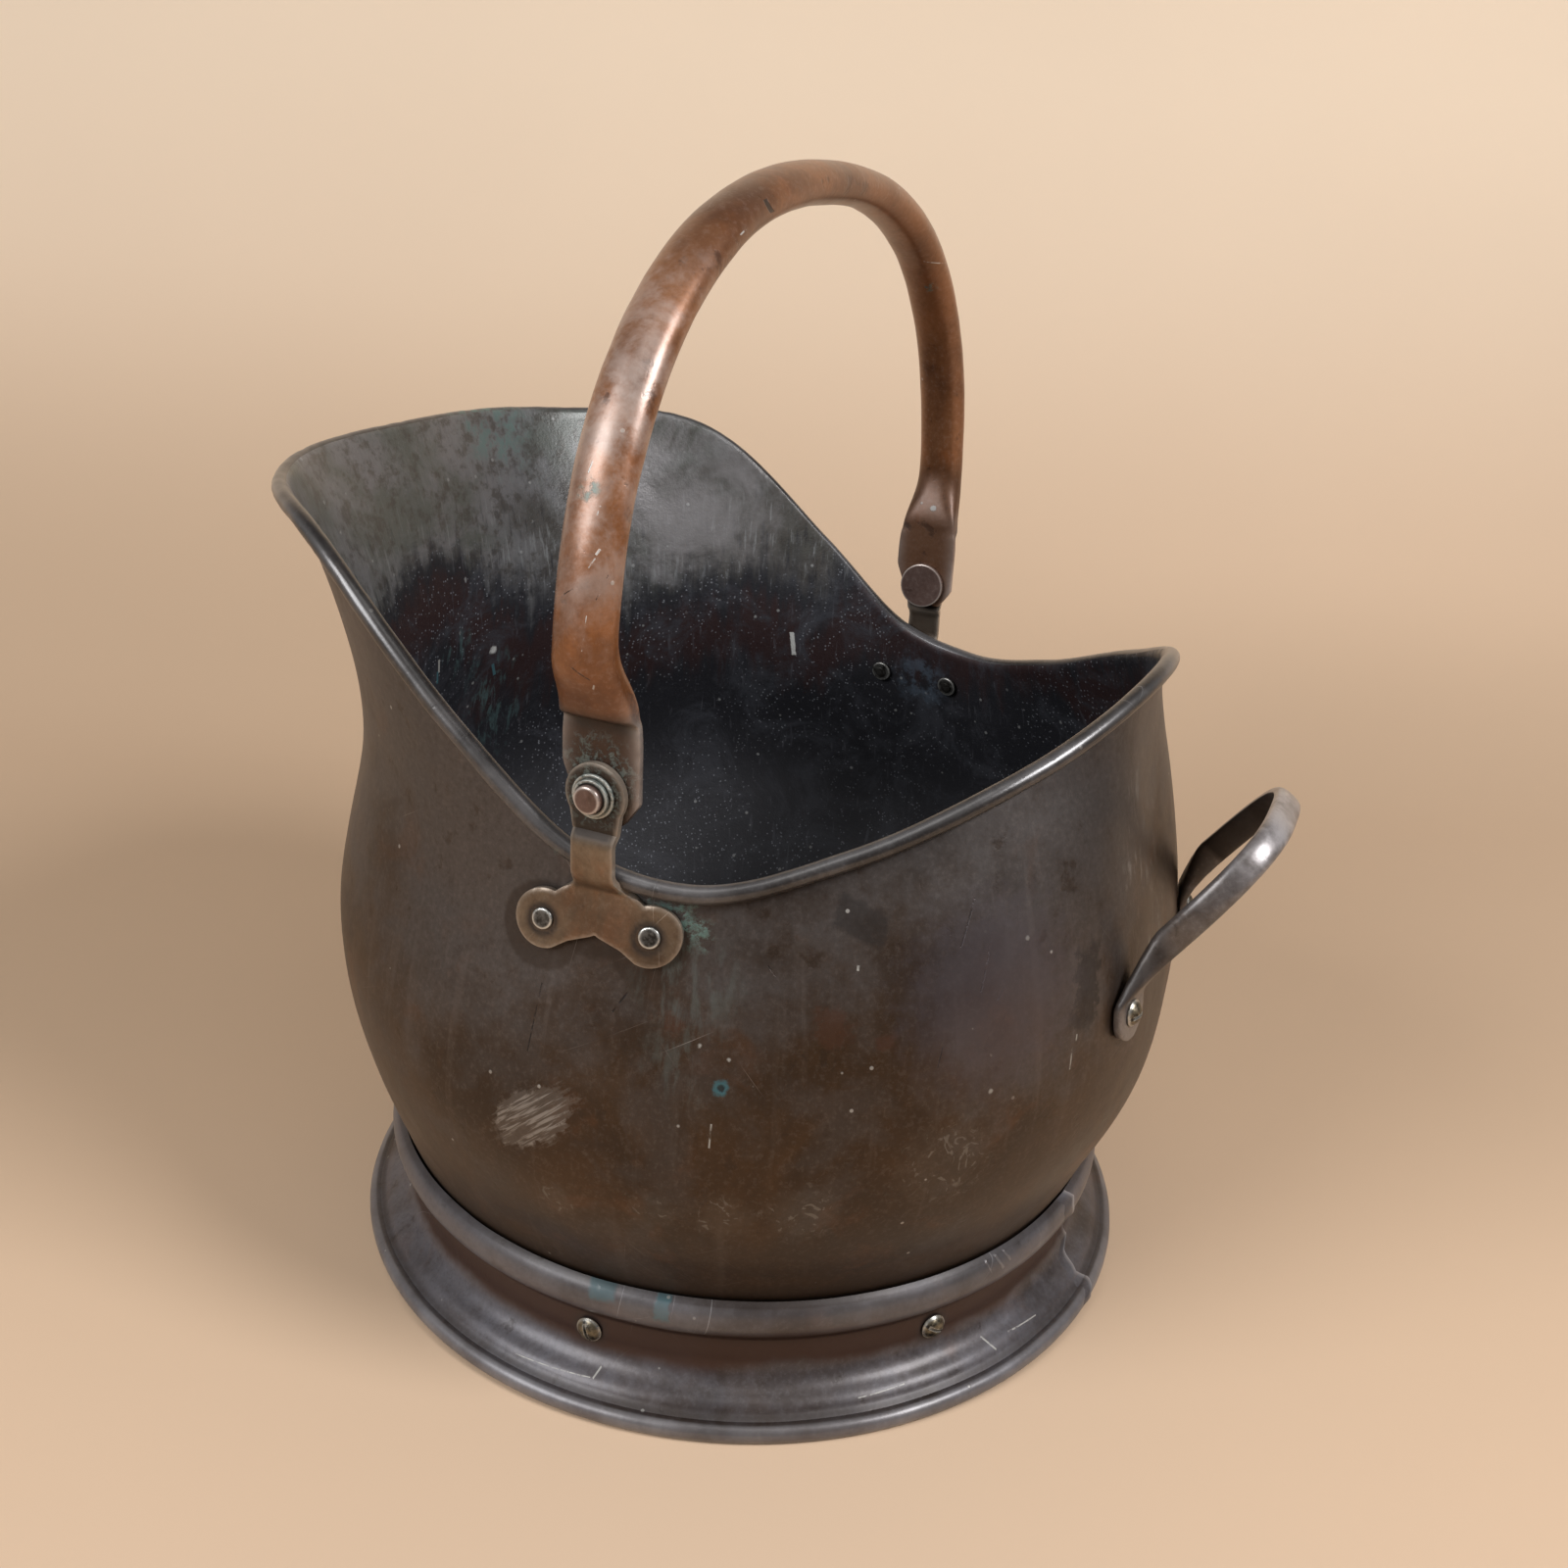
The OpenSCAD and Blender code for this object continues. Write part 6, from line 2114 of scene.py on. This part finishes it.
    @staticmethod
    def _spaced(edge: Sequence[Pair], step: float) -> list[Pair]:
        """The closed edge with points at even steps.

        Args:
            edge: The edge.
            step: The step.

        Returns:
            The points.
        """
        line = np.array(list(edge) + [edge[0]])
        run = length_along(line)
        count = int(run[-1] / step)
        at = np.linspace(0, run[-1], count, endpoint=False)
        return list(zip(np.interp(at, run, line[:, 0]).tolist(), np.interp(at, run, line[:, 1]).tolist()))

    @staticmethod
    def _inside(point: Pair, edge: Sequence[Pair], clear: float) -> bool:
        """Whether a point lies inside the edge, and clear of it.

        Args:
            point: The point.
            edge: The edge.
            clear: The least gap.

        Returns:
            Whether it does.
        """
        y, z = point
        hit = False
        for (y0, z0), (y1, z1) in zip(edge, list(edge[1:]) + [edge[0]]):
            if (z0 > z) != (z1 > z) and y < (y1 - y0) * (z - z0) / (z1 - z0) + y0:
                hit = not hit
            if math.hypot(y - y0, z - z0) < clear:
                return False
        return hit

    def rivet_spots(self, side: Side) -> tuple[Array, Array]:
        """Where the rivets sit on the plate's back, and their ways out.

        Args:
            side: The side.

        Returns:
            The spots, and the ways.
        """
        y = PIVOT.y + np.array([-self.pitch / 2, self.pitch / 2])
        z = np.full(2, PIVOT.z - self.drop)
        flip = np.array([side.value, 1, 1])
        return np.stack([self.back_x(y, z), y, z], -1) * flip, self.way_out(y, z) * flip


# ---------------------------------------------------------------- the tipping handle


@dataclass
class TippingHandle:
    """A strap with a round outside, bent to a loop, with its ends flattened and bolted on."""

    body: HelmetBody
    bolt_h: float = 147.0
    bolt_x: float = 46.0
    slope: float = 55.0
    reach: float = 60.9
    half_w: float = 41.0
    strap_w: float = 10.0
    strap_t: float = 4.8
    tab_w: float = 19.0
    tab_t: float = 3.0
    back: float = 0.2
    root_up: float = 12.0
    sides: int = 28
    sharp: float = 40.0

    def _wall(self, turn: float, height: float) -> float:
        """Radius of the wall at one place."""
        return float(self.body.radius_at(np.array(turn), np.array(height)))

    def frame(self) -> tuple[Array, Array, Array, Array]:
        """At the left bolt on the wall: its place, the way along the wall, the way out and the way up.

        Returns:
            The place and the three ways.
        """
        wall = self._wall
        angle = math.asin(self.bolt_x / wall(math.radians(17), self.bolt_h))
        r, step = wall(angle, self.bolt_h), math.radians(1)
        slope = wall(angle + step, self.bolt_h) - wall(angle - step, self.bolt_h)
        turn = angle - math.atan(slope / (2 * step) / r)
        lean = math.atan((wall(angle, self.bolt_h - 7) - wall(angle, self.bolt_h + 7)) / 14)
        out = np.array([math.sin(turn) * math.cos(lean), math.cos(turn) * math.cos(lean), math.sin(lean)])
        along = np.array([math.cos(turn), -math.sin(turn), 0.0])
        return np.array([r * math.sin(angle), r * math.cos(angle), self.bolt_h]), along, out, np.cross(along, out)

    def _tab_stations(self) -> list[Station]:
        """Follows the left end, bolted flat on the wall, from its round tip.

        Returns:
            Its stations.
        """
        spot, along, out, up = self.frame()
        tab = spot + (self.tab_t / 2 + self.back) * out
        half = self.tab_w / 2
        rows = []
        for t in np.concatenate([np.linspace(-half, -4, 14), np.linspace(-3, 6.5, 8)]):
            wide = half
            if t < 0:
                wide = half * math.sqrt(max(0.02, 1 - (t / (half + 0.4)) ** 2))
            rows.append((tab + t * up, along, out, wide, self.tab_t / 2, 0.35))
        return rows

    def _loop_stations(self) -> list[Station]:
        """Follows the left half of the loop, up to its middle.

        Returns:
            Its stations.
        """
        spot, _, out, up = self.frame()
        root = spot + (self.tab_t / 2 + self.back) * out + self.root_up * up
        slope = math.radians(self.slope)
        rise = np.array([0.0, math.cos(slope), math.sin(slope)])
        below = np.array([0.0, math.sin(slope), -math.cos(slope)])

        def bend(degrees: float) -> Array:
            """The place on the loop's own plane.

            Args:
                degrees: How far round the left half of the loop.

            Returns:
                Millimetres out to the side, and up the plane's slope.
            """
            turn = math.radians(degrees)
            cosine = max(math.cos(turn), 0.0) ** (2 / 3)
            return np.array([self.half_w * cosine, self.reach * math.sin(turn) ** (2 / 3)])

        rows = []
        for turn in np.concatenate([np.linspace(5, 60, 34), np.linspace(62, 90, 16)]):
            x, y = bend(turn)
            ahead = bend(min(90, turn + 1)) - bend(turn - 1)
            ahead /= np.linalg.norm(ahead)
            face = rise if turn >= 89.9 else np.array([ahead[1], 0, 0]) - ahead[0] * rise
            rows.append((np.array([0, root[1], root[2]]) + np.array([x, 0, 0]) + y * rise,
                         face, below, self.strap_t / 2, self.strap_w / 2, 0.8))
        return rows

    def _rings(self, turns: Array) -> Array:
        """The cross-sections from the left end to the middle.

        Args:
            turns: Angles round the section, in radians.

        Returns:
            Their points, as [ring, point, axis].
        """
        rings = []
        for middle, wide_way, thick_way, a, b, power in self._tab_stations() + self._loop_stations():
            c, s = np.cos(turns), np.sin(turns)
            first = a * np.sign(c) * np.abs(c) ** power
            if power > 0.5:
                first = np.where(c < 0, -a * np.abs(c) ** 0.28 * 0.92, first)
            second = b * np.sign(s) * np.abs(s) ** power
            rings.append(middle + first[:, None] * wide_way + second[:, None] * thick_way)
        half = np.array(rings)
        for _ in range(2):
            blend = half[18:27].copy()
            half[18:27] = (half[17:26] + 2 * blend + half[19:28]) / 4
        return half

    def build(self, copper: Material) -> Piece:
        """Makes the handle.

        Args:
            copper: Its finish.

        Returns:
            The handle.
        """
        turns = np.linspace(0, 2 * math.pi, self.sides, endpoint=False)
        half = self._rings(turns)
        points = np.concatenate([half, half[-2::-1] * np.array([-1, 1, 1])])
        count = len(points)
        flat = points.reshape(-1, 3)
        piece = add_piece("tipping_loop", flat, tube_faces(count, self.sides), [copper], self.sharp)
        share = np.repeat(np.concatenate([np.arange(len(half)), np.arange(len(half) - 2, -1, -1)]), self.sides)
        inner = np.tile(np.cos(turns) < -0.35, count) & (share > 24)
        # Painted shade on the loop's inner side and at its root.
        set_mark(piece.data, "dusk", np.where(inner, 0.9, 0.0) + bell(share, 22, 3.0) * 0.6)
        set_mark(piece.data, "worn", np.tile(np.clip(np.cos(turns), 0, 1) ** 3, count) * (share > 50) * 0.35)
        set_sheet_place(piece.data, np.stack([np.tile(turns, count) * STRAP_GIRTH, flat[:, 2] * MM], -1))
        face_outwards(piece.data)
        smooth(piece.data, self.sharp)
        settle(piece, Body.SCUTTLE, "handle_copper", "tipping_handle")
        return piece


# ---------------------------------------------------------------- pins and washers


@dataclass
class PivotPin:
    """A pin through the bail and its bracket: flat head inside, two washers and a rounded end outside."""

    pin_d: float = 9.0
    head_d: float = 19.5
    head_t: float = 2.0
    head_x: float = 140.0
    eye_x: float = 146.6
    washer: Pair = (14.0, 1.2)
    collar: Pair = (11.6, 1.5)
    peen: float = 2.2

    @staticmethod
    def _along(piece: Piece, side: Side) -> Piece:
        """Turns a piece's own Z out along X to one side, at the pivot.

        Args:
            piece: The piece.
            side: The side.

        Returns:
            The same piece.
        """
        piece.data.transform(at_pivot(side.value))
        return piece

    @staticmethod
    def _ring(inner: float, outer: float, low: float, high: float, soft: float) -> list[Pair]:
        """The section of a washer with rounded edges.

        Args:
            inner: Inner radius.
            outer: Outer radius.
            low: Inner face.
            high: Outer face.
            soft: Rounding of its edges.

        Returns:
            Points as (r, z).
        """
        return ([(inner, low), (outer - soft, low), (outer - soft * 0.3, low + soft * 0.3), (outer, low + soft),
                 (outer, high - soft), (outer - soft * 0.3, high - soft * 0.3), (outer - soft, high)]
                + [(inner + 0.1, high), (inner, high - 0.1), (inner, low)])

    def build(self, side: Side, lathe: Lathe, copper: Material, grey: Material) -> None:
        """Makes the pin and its washers on one side.

        Args:
            side: The side.
            lathe: What turns them.
            copper: The pin's finish.
            grey: The washers' finish.
        """
        half, end = self.pin_d / 2, self.eye_x + self.washer[1] + self.collar[1] + self.peen
        low = self.head_x - self.head_t
        outline = ([(0.0, low), (self.head_d / 2 - 0.5, low), (self.head_d / 2 - 0.1, low + 0.25),
                    (self.head_d / 2, low + 0.7), (self.head_d / 2, self.head_x - 0.2),
                    (self.head_d / 2 - 0.2, self.head_x), (half, self.head_x)]
                   + [(half, end - 0.9), (half - 0.25, end - 0.35), (half - 0.8, end - 0.08),
                      (half - 1.6, end), (0.0, end + 0.05)])
        pin = lathe.turn(f"{side.word}_pin", outline, 72, 120, copper)
        r, z = read_round(pin.data)
        set_mark(pin.data, "worn", bell(r, half - 0.5, 0.35) * (z > end - 1.0)
                 + bell(r, self.head_d / 2 - 0.3, 0.3) * (z < low + 0.6))
        # Painted shade on the shank between the head and the end.
        set_mark(pin.data, "dusk", (z < end - 1.4) * (z > self.head_x) * 0.8)
        set_sheet_place(pin.data, read_points(pin.data)[:, :2] * MM)
        settle(self._along(pin, side), Body.SCUTTLE, "bail_copper", f"{side.word}_pivot_pin")
        at = self.eye_x
        for word, (outer, thick), node in (("washer", self.washer, "large_washer"),
                                           ("collar", self.collar, "small_washer")):
            ring = lathe.turn(f"{side.word}_{word}", self._ring(half + 0.05, outer / 2, at, at + thick, 0.35),
                              72, 44, grey)
            r, z = read_round(ring.data)
            set_mark(ring.data, "worn", bell(r, outer / 2 - 0.35, 0.4) * (z > at + 0.5) * 0.7)
            # Painted shade in the bore and on the inner face.
            set_mark(ring.data, "dusk", (r < half + 0.5) * 0.9 + (z < at + 0.3) * 0.6)
            settle(self._along(ring, side), Body.SCUTTLE, "steel_fixings", f"{side.word}_{node}")
            at += thick


# ---------------------------------------------------------------- the whole


@dataclass
class Scuttle:
    """The whole object, built from its sub-assemblies in order."""

    body: HelmetBody = field(default_factory=HelmetBody)
    foot: Foot = field(default_factory=Foot)
    bail: Bail = field(default_factory=Bail)
    finishes: dict[str, Material] = field(default_factory=dict)

    def mix_finishes(self) -> None:
        """Makes every finish."""
        # Painted shadow round the bracket plates on the body.
        plate_shadow = tuple(((side * x, y, z), reach) for side in (1, -1) for x, y, z, reach in (
            (147.0, -6.5, 182.0, 15.2), (145.5, 28.8, 182.0, 14.8), (146.5, 11.5, 188.0, 14.5)))
        crust = (((143.0, 27.0, 200.0), 9.0), ((142.5, -3.0, 208.5), 4.0), ((139.5, 36.0, 194.0), 8.5),
                 ((138.5, 42.0, 187.0), 7.0), ((-143.0, 27.0, 200.0), 9.0), ((-139.5, 36.0, 194.0), 8.0))
        recipes = {
            "body": BodyCopper("body_copper", green_spots=crust, dark_spots=plate_shadow, film_rise=(0.115, 0.205),
                               brown=(0.056, 0.028, 0.011), streaks=0.06, metallic=0.6, coat=0.06,
                               roughness=0.42),
            "bead": OldCopper("bead_copper", dark=(0.022, 0.019, 0.018), brown=(0.056, 0.049, 0.046),
                              grey=(0.094, 0.090, 0.093), worn=(0.32, 0.31, 0.31), green_spots=crust[1:2] + (
                                  ((-50.0, -158.0, 298.0), 26.0), ((100.0, -130.0, 285.0), 14.0)),
                              red=(0.06, 0.04, 0.03), roughness=0.32, coat=0.4, waves=0.1, specks=0.2),
            # The foot's pale blue-grey stands partly for a painted reflection of the cool light above.
            "foot": FootCopper("foot_copper", brown=(0.060, 0.042, 0.034), dark=(0.026, 0.019, 0.017),
                               grey=(0.110, 0.106, 0.120), worn=(0.36, 0.35, 0.36), film=0.9,
                               roughness=0.39, coat=0.17, waves=0.45, scratches=1.4),
            # The bail's pale spots are painted sheen on its near leg.
            "bail": BailCopper("bail_copper", dark=(0.085, 0.031, 0.012), brown=(0.270, 0.094, 0.023),
                               grey=(0.25, 0.112, 0.052), red=(0.31, 0.086, 0.016), worn=(0.62, 0.54, 0.49),
                               film=0.6, roughness=0.36, coat=0.36, coat_rough=0.24, metallic=0.36, specks=0.5,
                               pale_spots=(((151.0, 8.0, 318.0), 46.0), ((125.0, 8.0, 356.0), 42.0)),
                               pits=0.8, scratches=0.5, waves=0.16,
                               green_spots=(((150.0, 11.0, 319.0), 4.5), ((-106.0, 15.4, 359.0), 3.0)),
                               crusts=(((148.0, PIVOT.y, PIVOT.z + 5.0), 16.5),)),
            "strap": OldCopper("strap_copper", dark=(0.052, 0.028, 0.013), brown=(0.146, 0.078, 0.035),
                               grey=(0.180, 0.132, 0.085), red=(0.24, 0.090, 0.03), worn=(0.50, 0.42, 0.34),
                               roughness=0.38, coat=0.2, metallic=0.4, specks=0.7, pits=0.8,
                               green_spots=(((147.0, 22.0, 200.0), 6.0),),
                               crusts=(((150.0, PIVOT.y, PIVOT.z), 12.5),)),
            "pin": OldCopper("pin_copper", dark=(0.040, 0.020, 0.014), brown=(0.120, 0.055, 0.040),
                             grey=(0.13, 0.085, 0.072), worn=(0.55, 0.47, 0.42), roughness=0.34, specks=0.6),
            # The handle's pale spots are painted sheen on its grip; its dark spot darkens the loop's root.
            "handle": OldCopper("handle_copper", dark=(0.030, 0.022, 0.019), brown=(0.088, 0.062, 0.044),
                                grey=(0.215, 0.208, 0.218), worn=(0.50, 0.47, 0.47), film=0.5, roughness=0.35,
                                coat=0.42, waves=0.12, dark_spots=(((50.0, 150.0, 160.0), 12.0),),
                                pale_spots=(((0.0, 187.0, 210.0), 54.0), ((0.0, 187.0, 210.0), 42.0))),
            "soot": SootedCopper(),
            "brass": DullMetal("dull_brass", colour=(0.19, 0.155, 0.10)),
            "steel": DullMetal("dull_steel", colour=(0.16, 0.155, 0.145), bright=(0.62, 0.61, 0.57)),
            "crusted": DullMetal("crusted_steel", colour=(0.13, 0.125, 0.11), bright=(0.55, 0.55, 0.51),
                                 crust=(0.125, 0.16, 0.145), crusted=0.75),
            "iron": DullMetal("dark_iron", colour=(0.06, 0.055, 0.05), bright=(0.2, 0.2, 0.2)),
        }
        self.finishes = {key: recipe.build() for key, recipe in recipes.items()}

    def build(self) -> None:
        """Builds and dresses every piece."""
        self.mix_finishes()
        finish = self.finishes
        lathe, ring, on_plate = Lathe(), BoltRing(), SetOnPlate()
        self.body.build(finish["body"], finish["bead"], finish["soot"])
        self.foot.build(lathe, finish["foot"])
        FootSeam(self.foot).build(finish["foot"])
        self.bail.build(finish["bail"])
        bolt = RoundHeadBolt(shank=9.0).mesh(lathe, "bolt_pattern", finish["brass"])
        bolts = ring.sheet.grow("neck_bolts", bolt.data, {
            "Count": FOOT_BOLTS, "Radius": (self.foot.neck_r + 0.3) * MM, "Height": self.foot.bolt_h * MM,
            "First Angle": math.radians(90 - FIRST_BOLT), "Seed": 4, "Middle": (0.0, FOOT_Y, 0.0),
            "Material": finish["brass"]})
        smooth(bolts.data, FIXING_EDGE)
        settle(bolts, Body.SCUTTLE, "brass_fixings", "foot_bolts")
        bpy.data.objects.remove(bolt)
        handle = TippingHandle(self.body)
        handle.build(finish["handle"])
        spot, _, out, _ = handle.frame()
        top = handle.tab_t + handle.back
        big = RoundHeadBolt(shank=10.5).mesh(lathe, "handle_bolt_pattern", finish["brass"])
        for side in Side:
            flip = np.array([side.value, 1, 1])
            place = on_plate.place(f"{side.word}_loop_bolt", big, (spot + out * top)[None] * flip,
                                   out[None] * flip, finish["brass"])
            settle(place, Body.SCUTTLE, "brass_fixings", f"{side.word}_handle_bolt")
        bpy.data.objects.remove(big)
        self._brackets(lathe, on_plate)
        for side in Side:
            PivotPin().build(side, lathe, finish["pin"], finish["crusted"])
        self._dress_rest()

    def _brackets(self, lathe: Lathe, on_plate: SetOnPlate) -> None:
        """Builds the brackets with their rivets and the rivets' roves.

        Args:
            lathe: What turns the rivets.
            on_plate: What sets them.
        """
        finish = self.finishes
        bracket = Bracket(self.body)
        pair = Rivet(bracket.thick, -self.body.wall - 1.5)
        rivet, rove = pair.mesh(lathe, finish["steel"]), pair.rove(lathe, finish["steel"])
        for side in Side:
            bracket.build(side, finish["strap"])
            spots, ways = bracket.rivet_spots(side)
            heads = on_plate.place(f"{side.word}_rivets", rivet, spots, ways, finish["steel"])
            settle(heads, Body.SCUTTLE, "steel_fixings", f"{side.word}_bracket_rivets")
            roves = on_plate.place(f"{side.word}_roves", rove, spots, ways, finish["steel"])
            settle(roves, Body.SCUTTLE, "steel_fixings", f"{side.word}_rivet_roves")
        for pattern in (rivet, rove):
            bpy.data.objects.remove(pattern)

    def _dress_rest(self) -> None:
        """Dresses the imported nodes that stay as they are."""
        dress = {"base_pan": "soot", "rim_wire": "iron", "foot_edge_wire": "iron", "foot_nuts": "brass",
                 "left_handle_washer": "steel", "right_handle_washer": "steel",
                 "left_handle_nut": "brass", "right_handle_nut": "brass"}
        for node, key in dress.items():
            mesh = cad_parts[node].data
            mesh.materials.clear()
            mesh.materials.append(self.finishes[key])
            LOG.info("%s keeps its packed shape, in %s", node, key)


# ---------------------------------------------------------------- the studio


@dataclass
class Studio:
    """Paper sweep, lamps and camera."""

    eye: Triple = (505.32, 223.77, 404.12)
    azimuth: float = 113.03
    elevation: float = 22.14
    roll: float = 3.21
    lens: float = 35.379

    def camera(self) -> None:
        """Sets the camera at the picture's viewpoint."""
        a, e, t = (math.radians(v) for v in (self.azimuth, self.elevation, self.roll))
        back = Vector((math.sin(a) * math.cos(e), -math.cos(a) * math.cos(e), math.sin(e)))
        right = Vector((0, 0, 1)).cross(back).normalized()
        up = back.cross(right)
        across, upright = right * math.cos(t) + up * math.sin(t), up * math.cos(t) - right * math.sin(t)
        data = bpy.data.cameras.new("camera")
        data.lens, data.sensor_width, data.clip_start = self.lens, 36.0, 0.01
        camera = link_new("camera", data)
        place = Matrix((across, upright, back)).transposed().to_4x4()
        place.translation = Vector(metres(np.array(self.eye)).tolist())
        camera.matrix_world = place
        bpy.context.scene.camera = camera

    def paper(self) -> None:
        """Lays the paper sweep: a floor that curves up behind the scuttle."""
        material = PalePaper().build()
        a = math.radians(self.azimuth)
        back = Vector((math.sin(a), -math.cos(a), 0))
        side = Vector((-back.y, back.x, 0))
        run, bend, start = [], 0.5, -0.42
        for t in np.linspace(1.9, start, 12):
            run.append((t, 0.0))
        for t in np.linspace(0, math.pi / 2 * 0.9, 24)[1:]:
            run.append((start - bend * math.sin(t), bend * (1 - math.cos(t))))
        last, before = run[-1], run[-2]
        step = ((last[0] - before[0]), (last[1] - before[1]))
        size = math.hypot(*step)
        for k in range(1, 8):
            run.append((last[0] + step[0] / size * 0.25 * k, last[1] + step[1] / size * 0.25 * k))
        points, faces = [], []
        widths = np.linspace(-2.4, 2.4, 5)
        for depth, height in run:
            for w in widths:
                points.append(tuple(back * depth + side * w + Vector((0, 0, height))))
        n = len(widths)
        for i in range(len(run) - 1):
            for j in range(n - 1):
                faces.append((i * n + j, i * n + j + 1, (i + 1) * n + j + 1, (i + 1) * n + j))
        mesh = bpy.data.meshes.new("paper")
        mesh.from_pydata(points, [], faces)
        mesh.materials.append(material)
        smooth(mesh, 60.0)
        link_new("paper", mesh)

    def lamp(self, name: str, place: Triple, aim: Triple, size: float, power: float, colour: Colour) -> None:
        """Hangs one soft lamp.

        Args:
            name: Its name.
            place: Where it hangs.
            aim: What it faces.
            size: Its side, in metres.
            power: Its watts.
            colour: Its light's colour.
        """
        data = bpy.data.lights.new(name, "AREA")
        data.shape, data.size, data.energy, data.color = "DISK", size, power, colour
        lamp = link_new(name, data)
        lamp.location = place
        lamp.rotation_euler = (Vector(aim) - Vector(place)).to_track_quat("-Z", "Y").to_euler()

    def light(self) -> None:
        """Hangs the lamps and sets the world."""
        self.lamp("window", (0.21, 1.44, 1.46), (0, 0, 0.18), 0.72, 30.0, (0.98, 0.98, 1.0))
        self.lamp("far_window", (1.55, -0.80, 1.25), (0, 0, 0.15), 1.15, 29.0, (0.97, 0.98, 1.0))
        self.lamp("ceiling", (0.75, 0.30, 2.1), (-0.1, 0, 0.1), 1.0, 4.0, (1.0, 0.99, 0.97))
        world = bpy.data.worlds.new("room")
        bpy.context.scene.world = world
        world.use_nodes = True
        world.node_tree.nodes["Background"].inputs["Color"].default_value = (0.96, 0.97, 1.0, 1.0)
        world.node_tree.nodes["Background"].inputs["Strength"].default_value = 0.12
        bpy.context.scene.view_settings.view_transform = "Standard"

    def build(self) -> None:
        """Sets up everything round the scuttle."""
        self.camera()
        self.paper()
        self.light()


def main() -> None:
    """Builds the scuttle and the studio."""
    logging.basicConfig(level=logging.INFO, format="%(name)s: %(message)s")
    Scuttle().build()
    Studio().build()


if __name__ == "__main__":
    main()
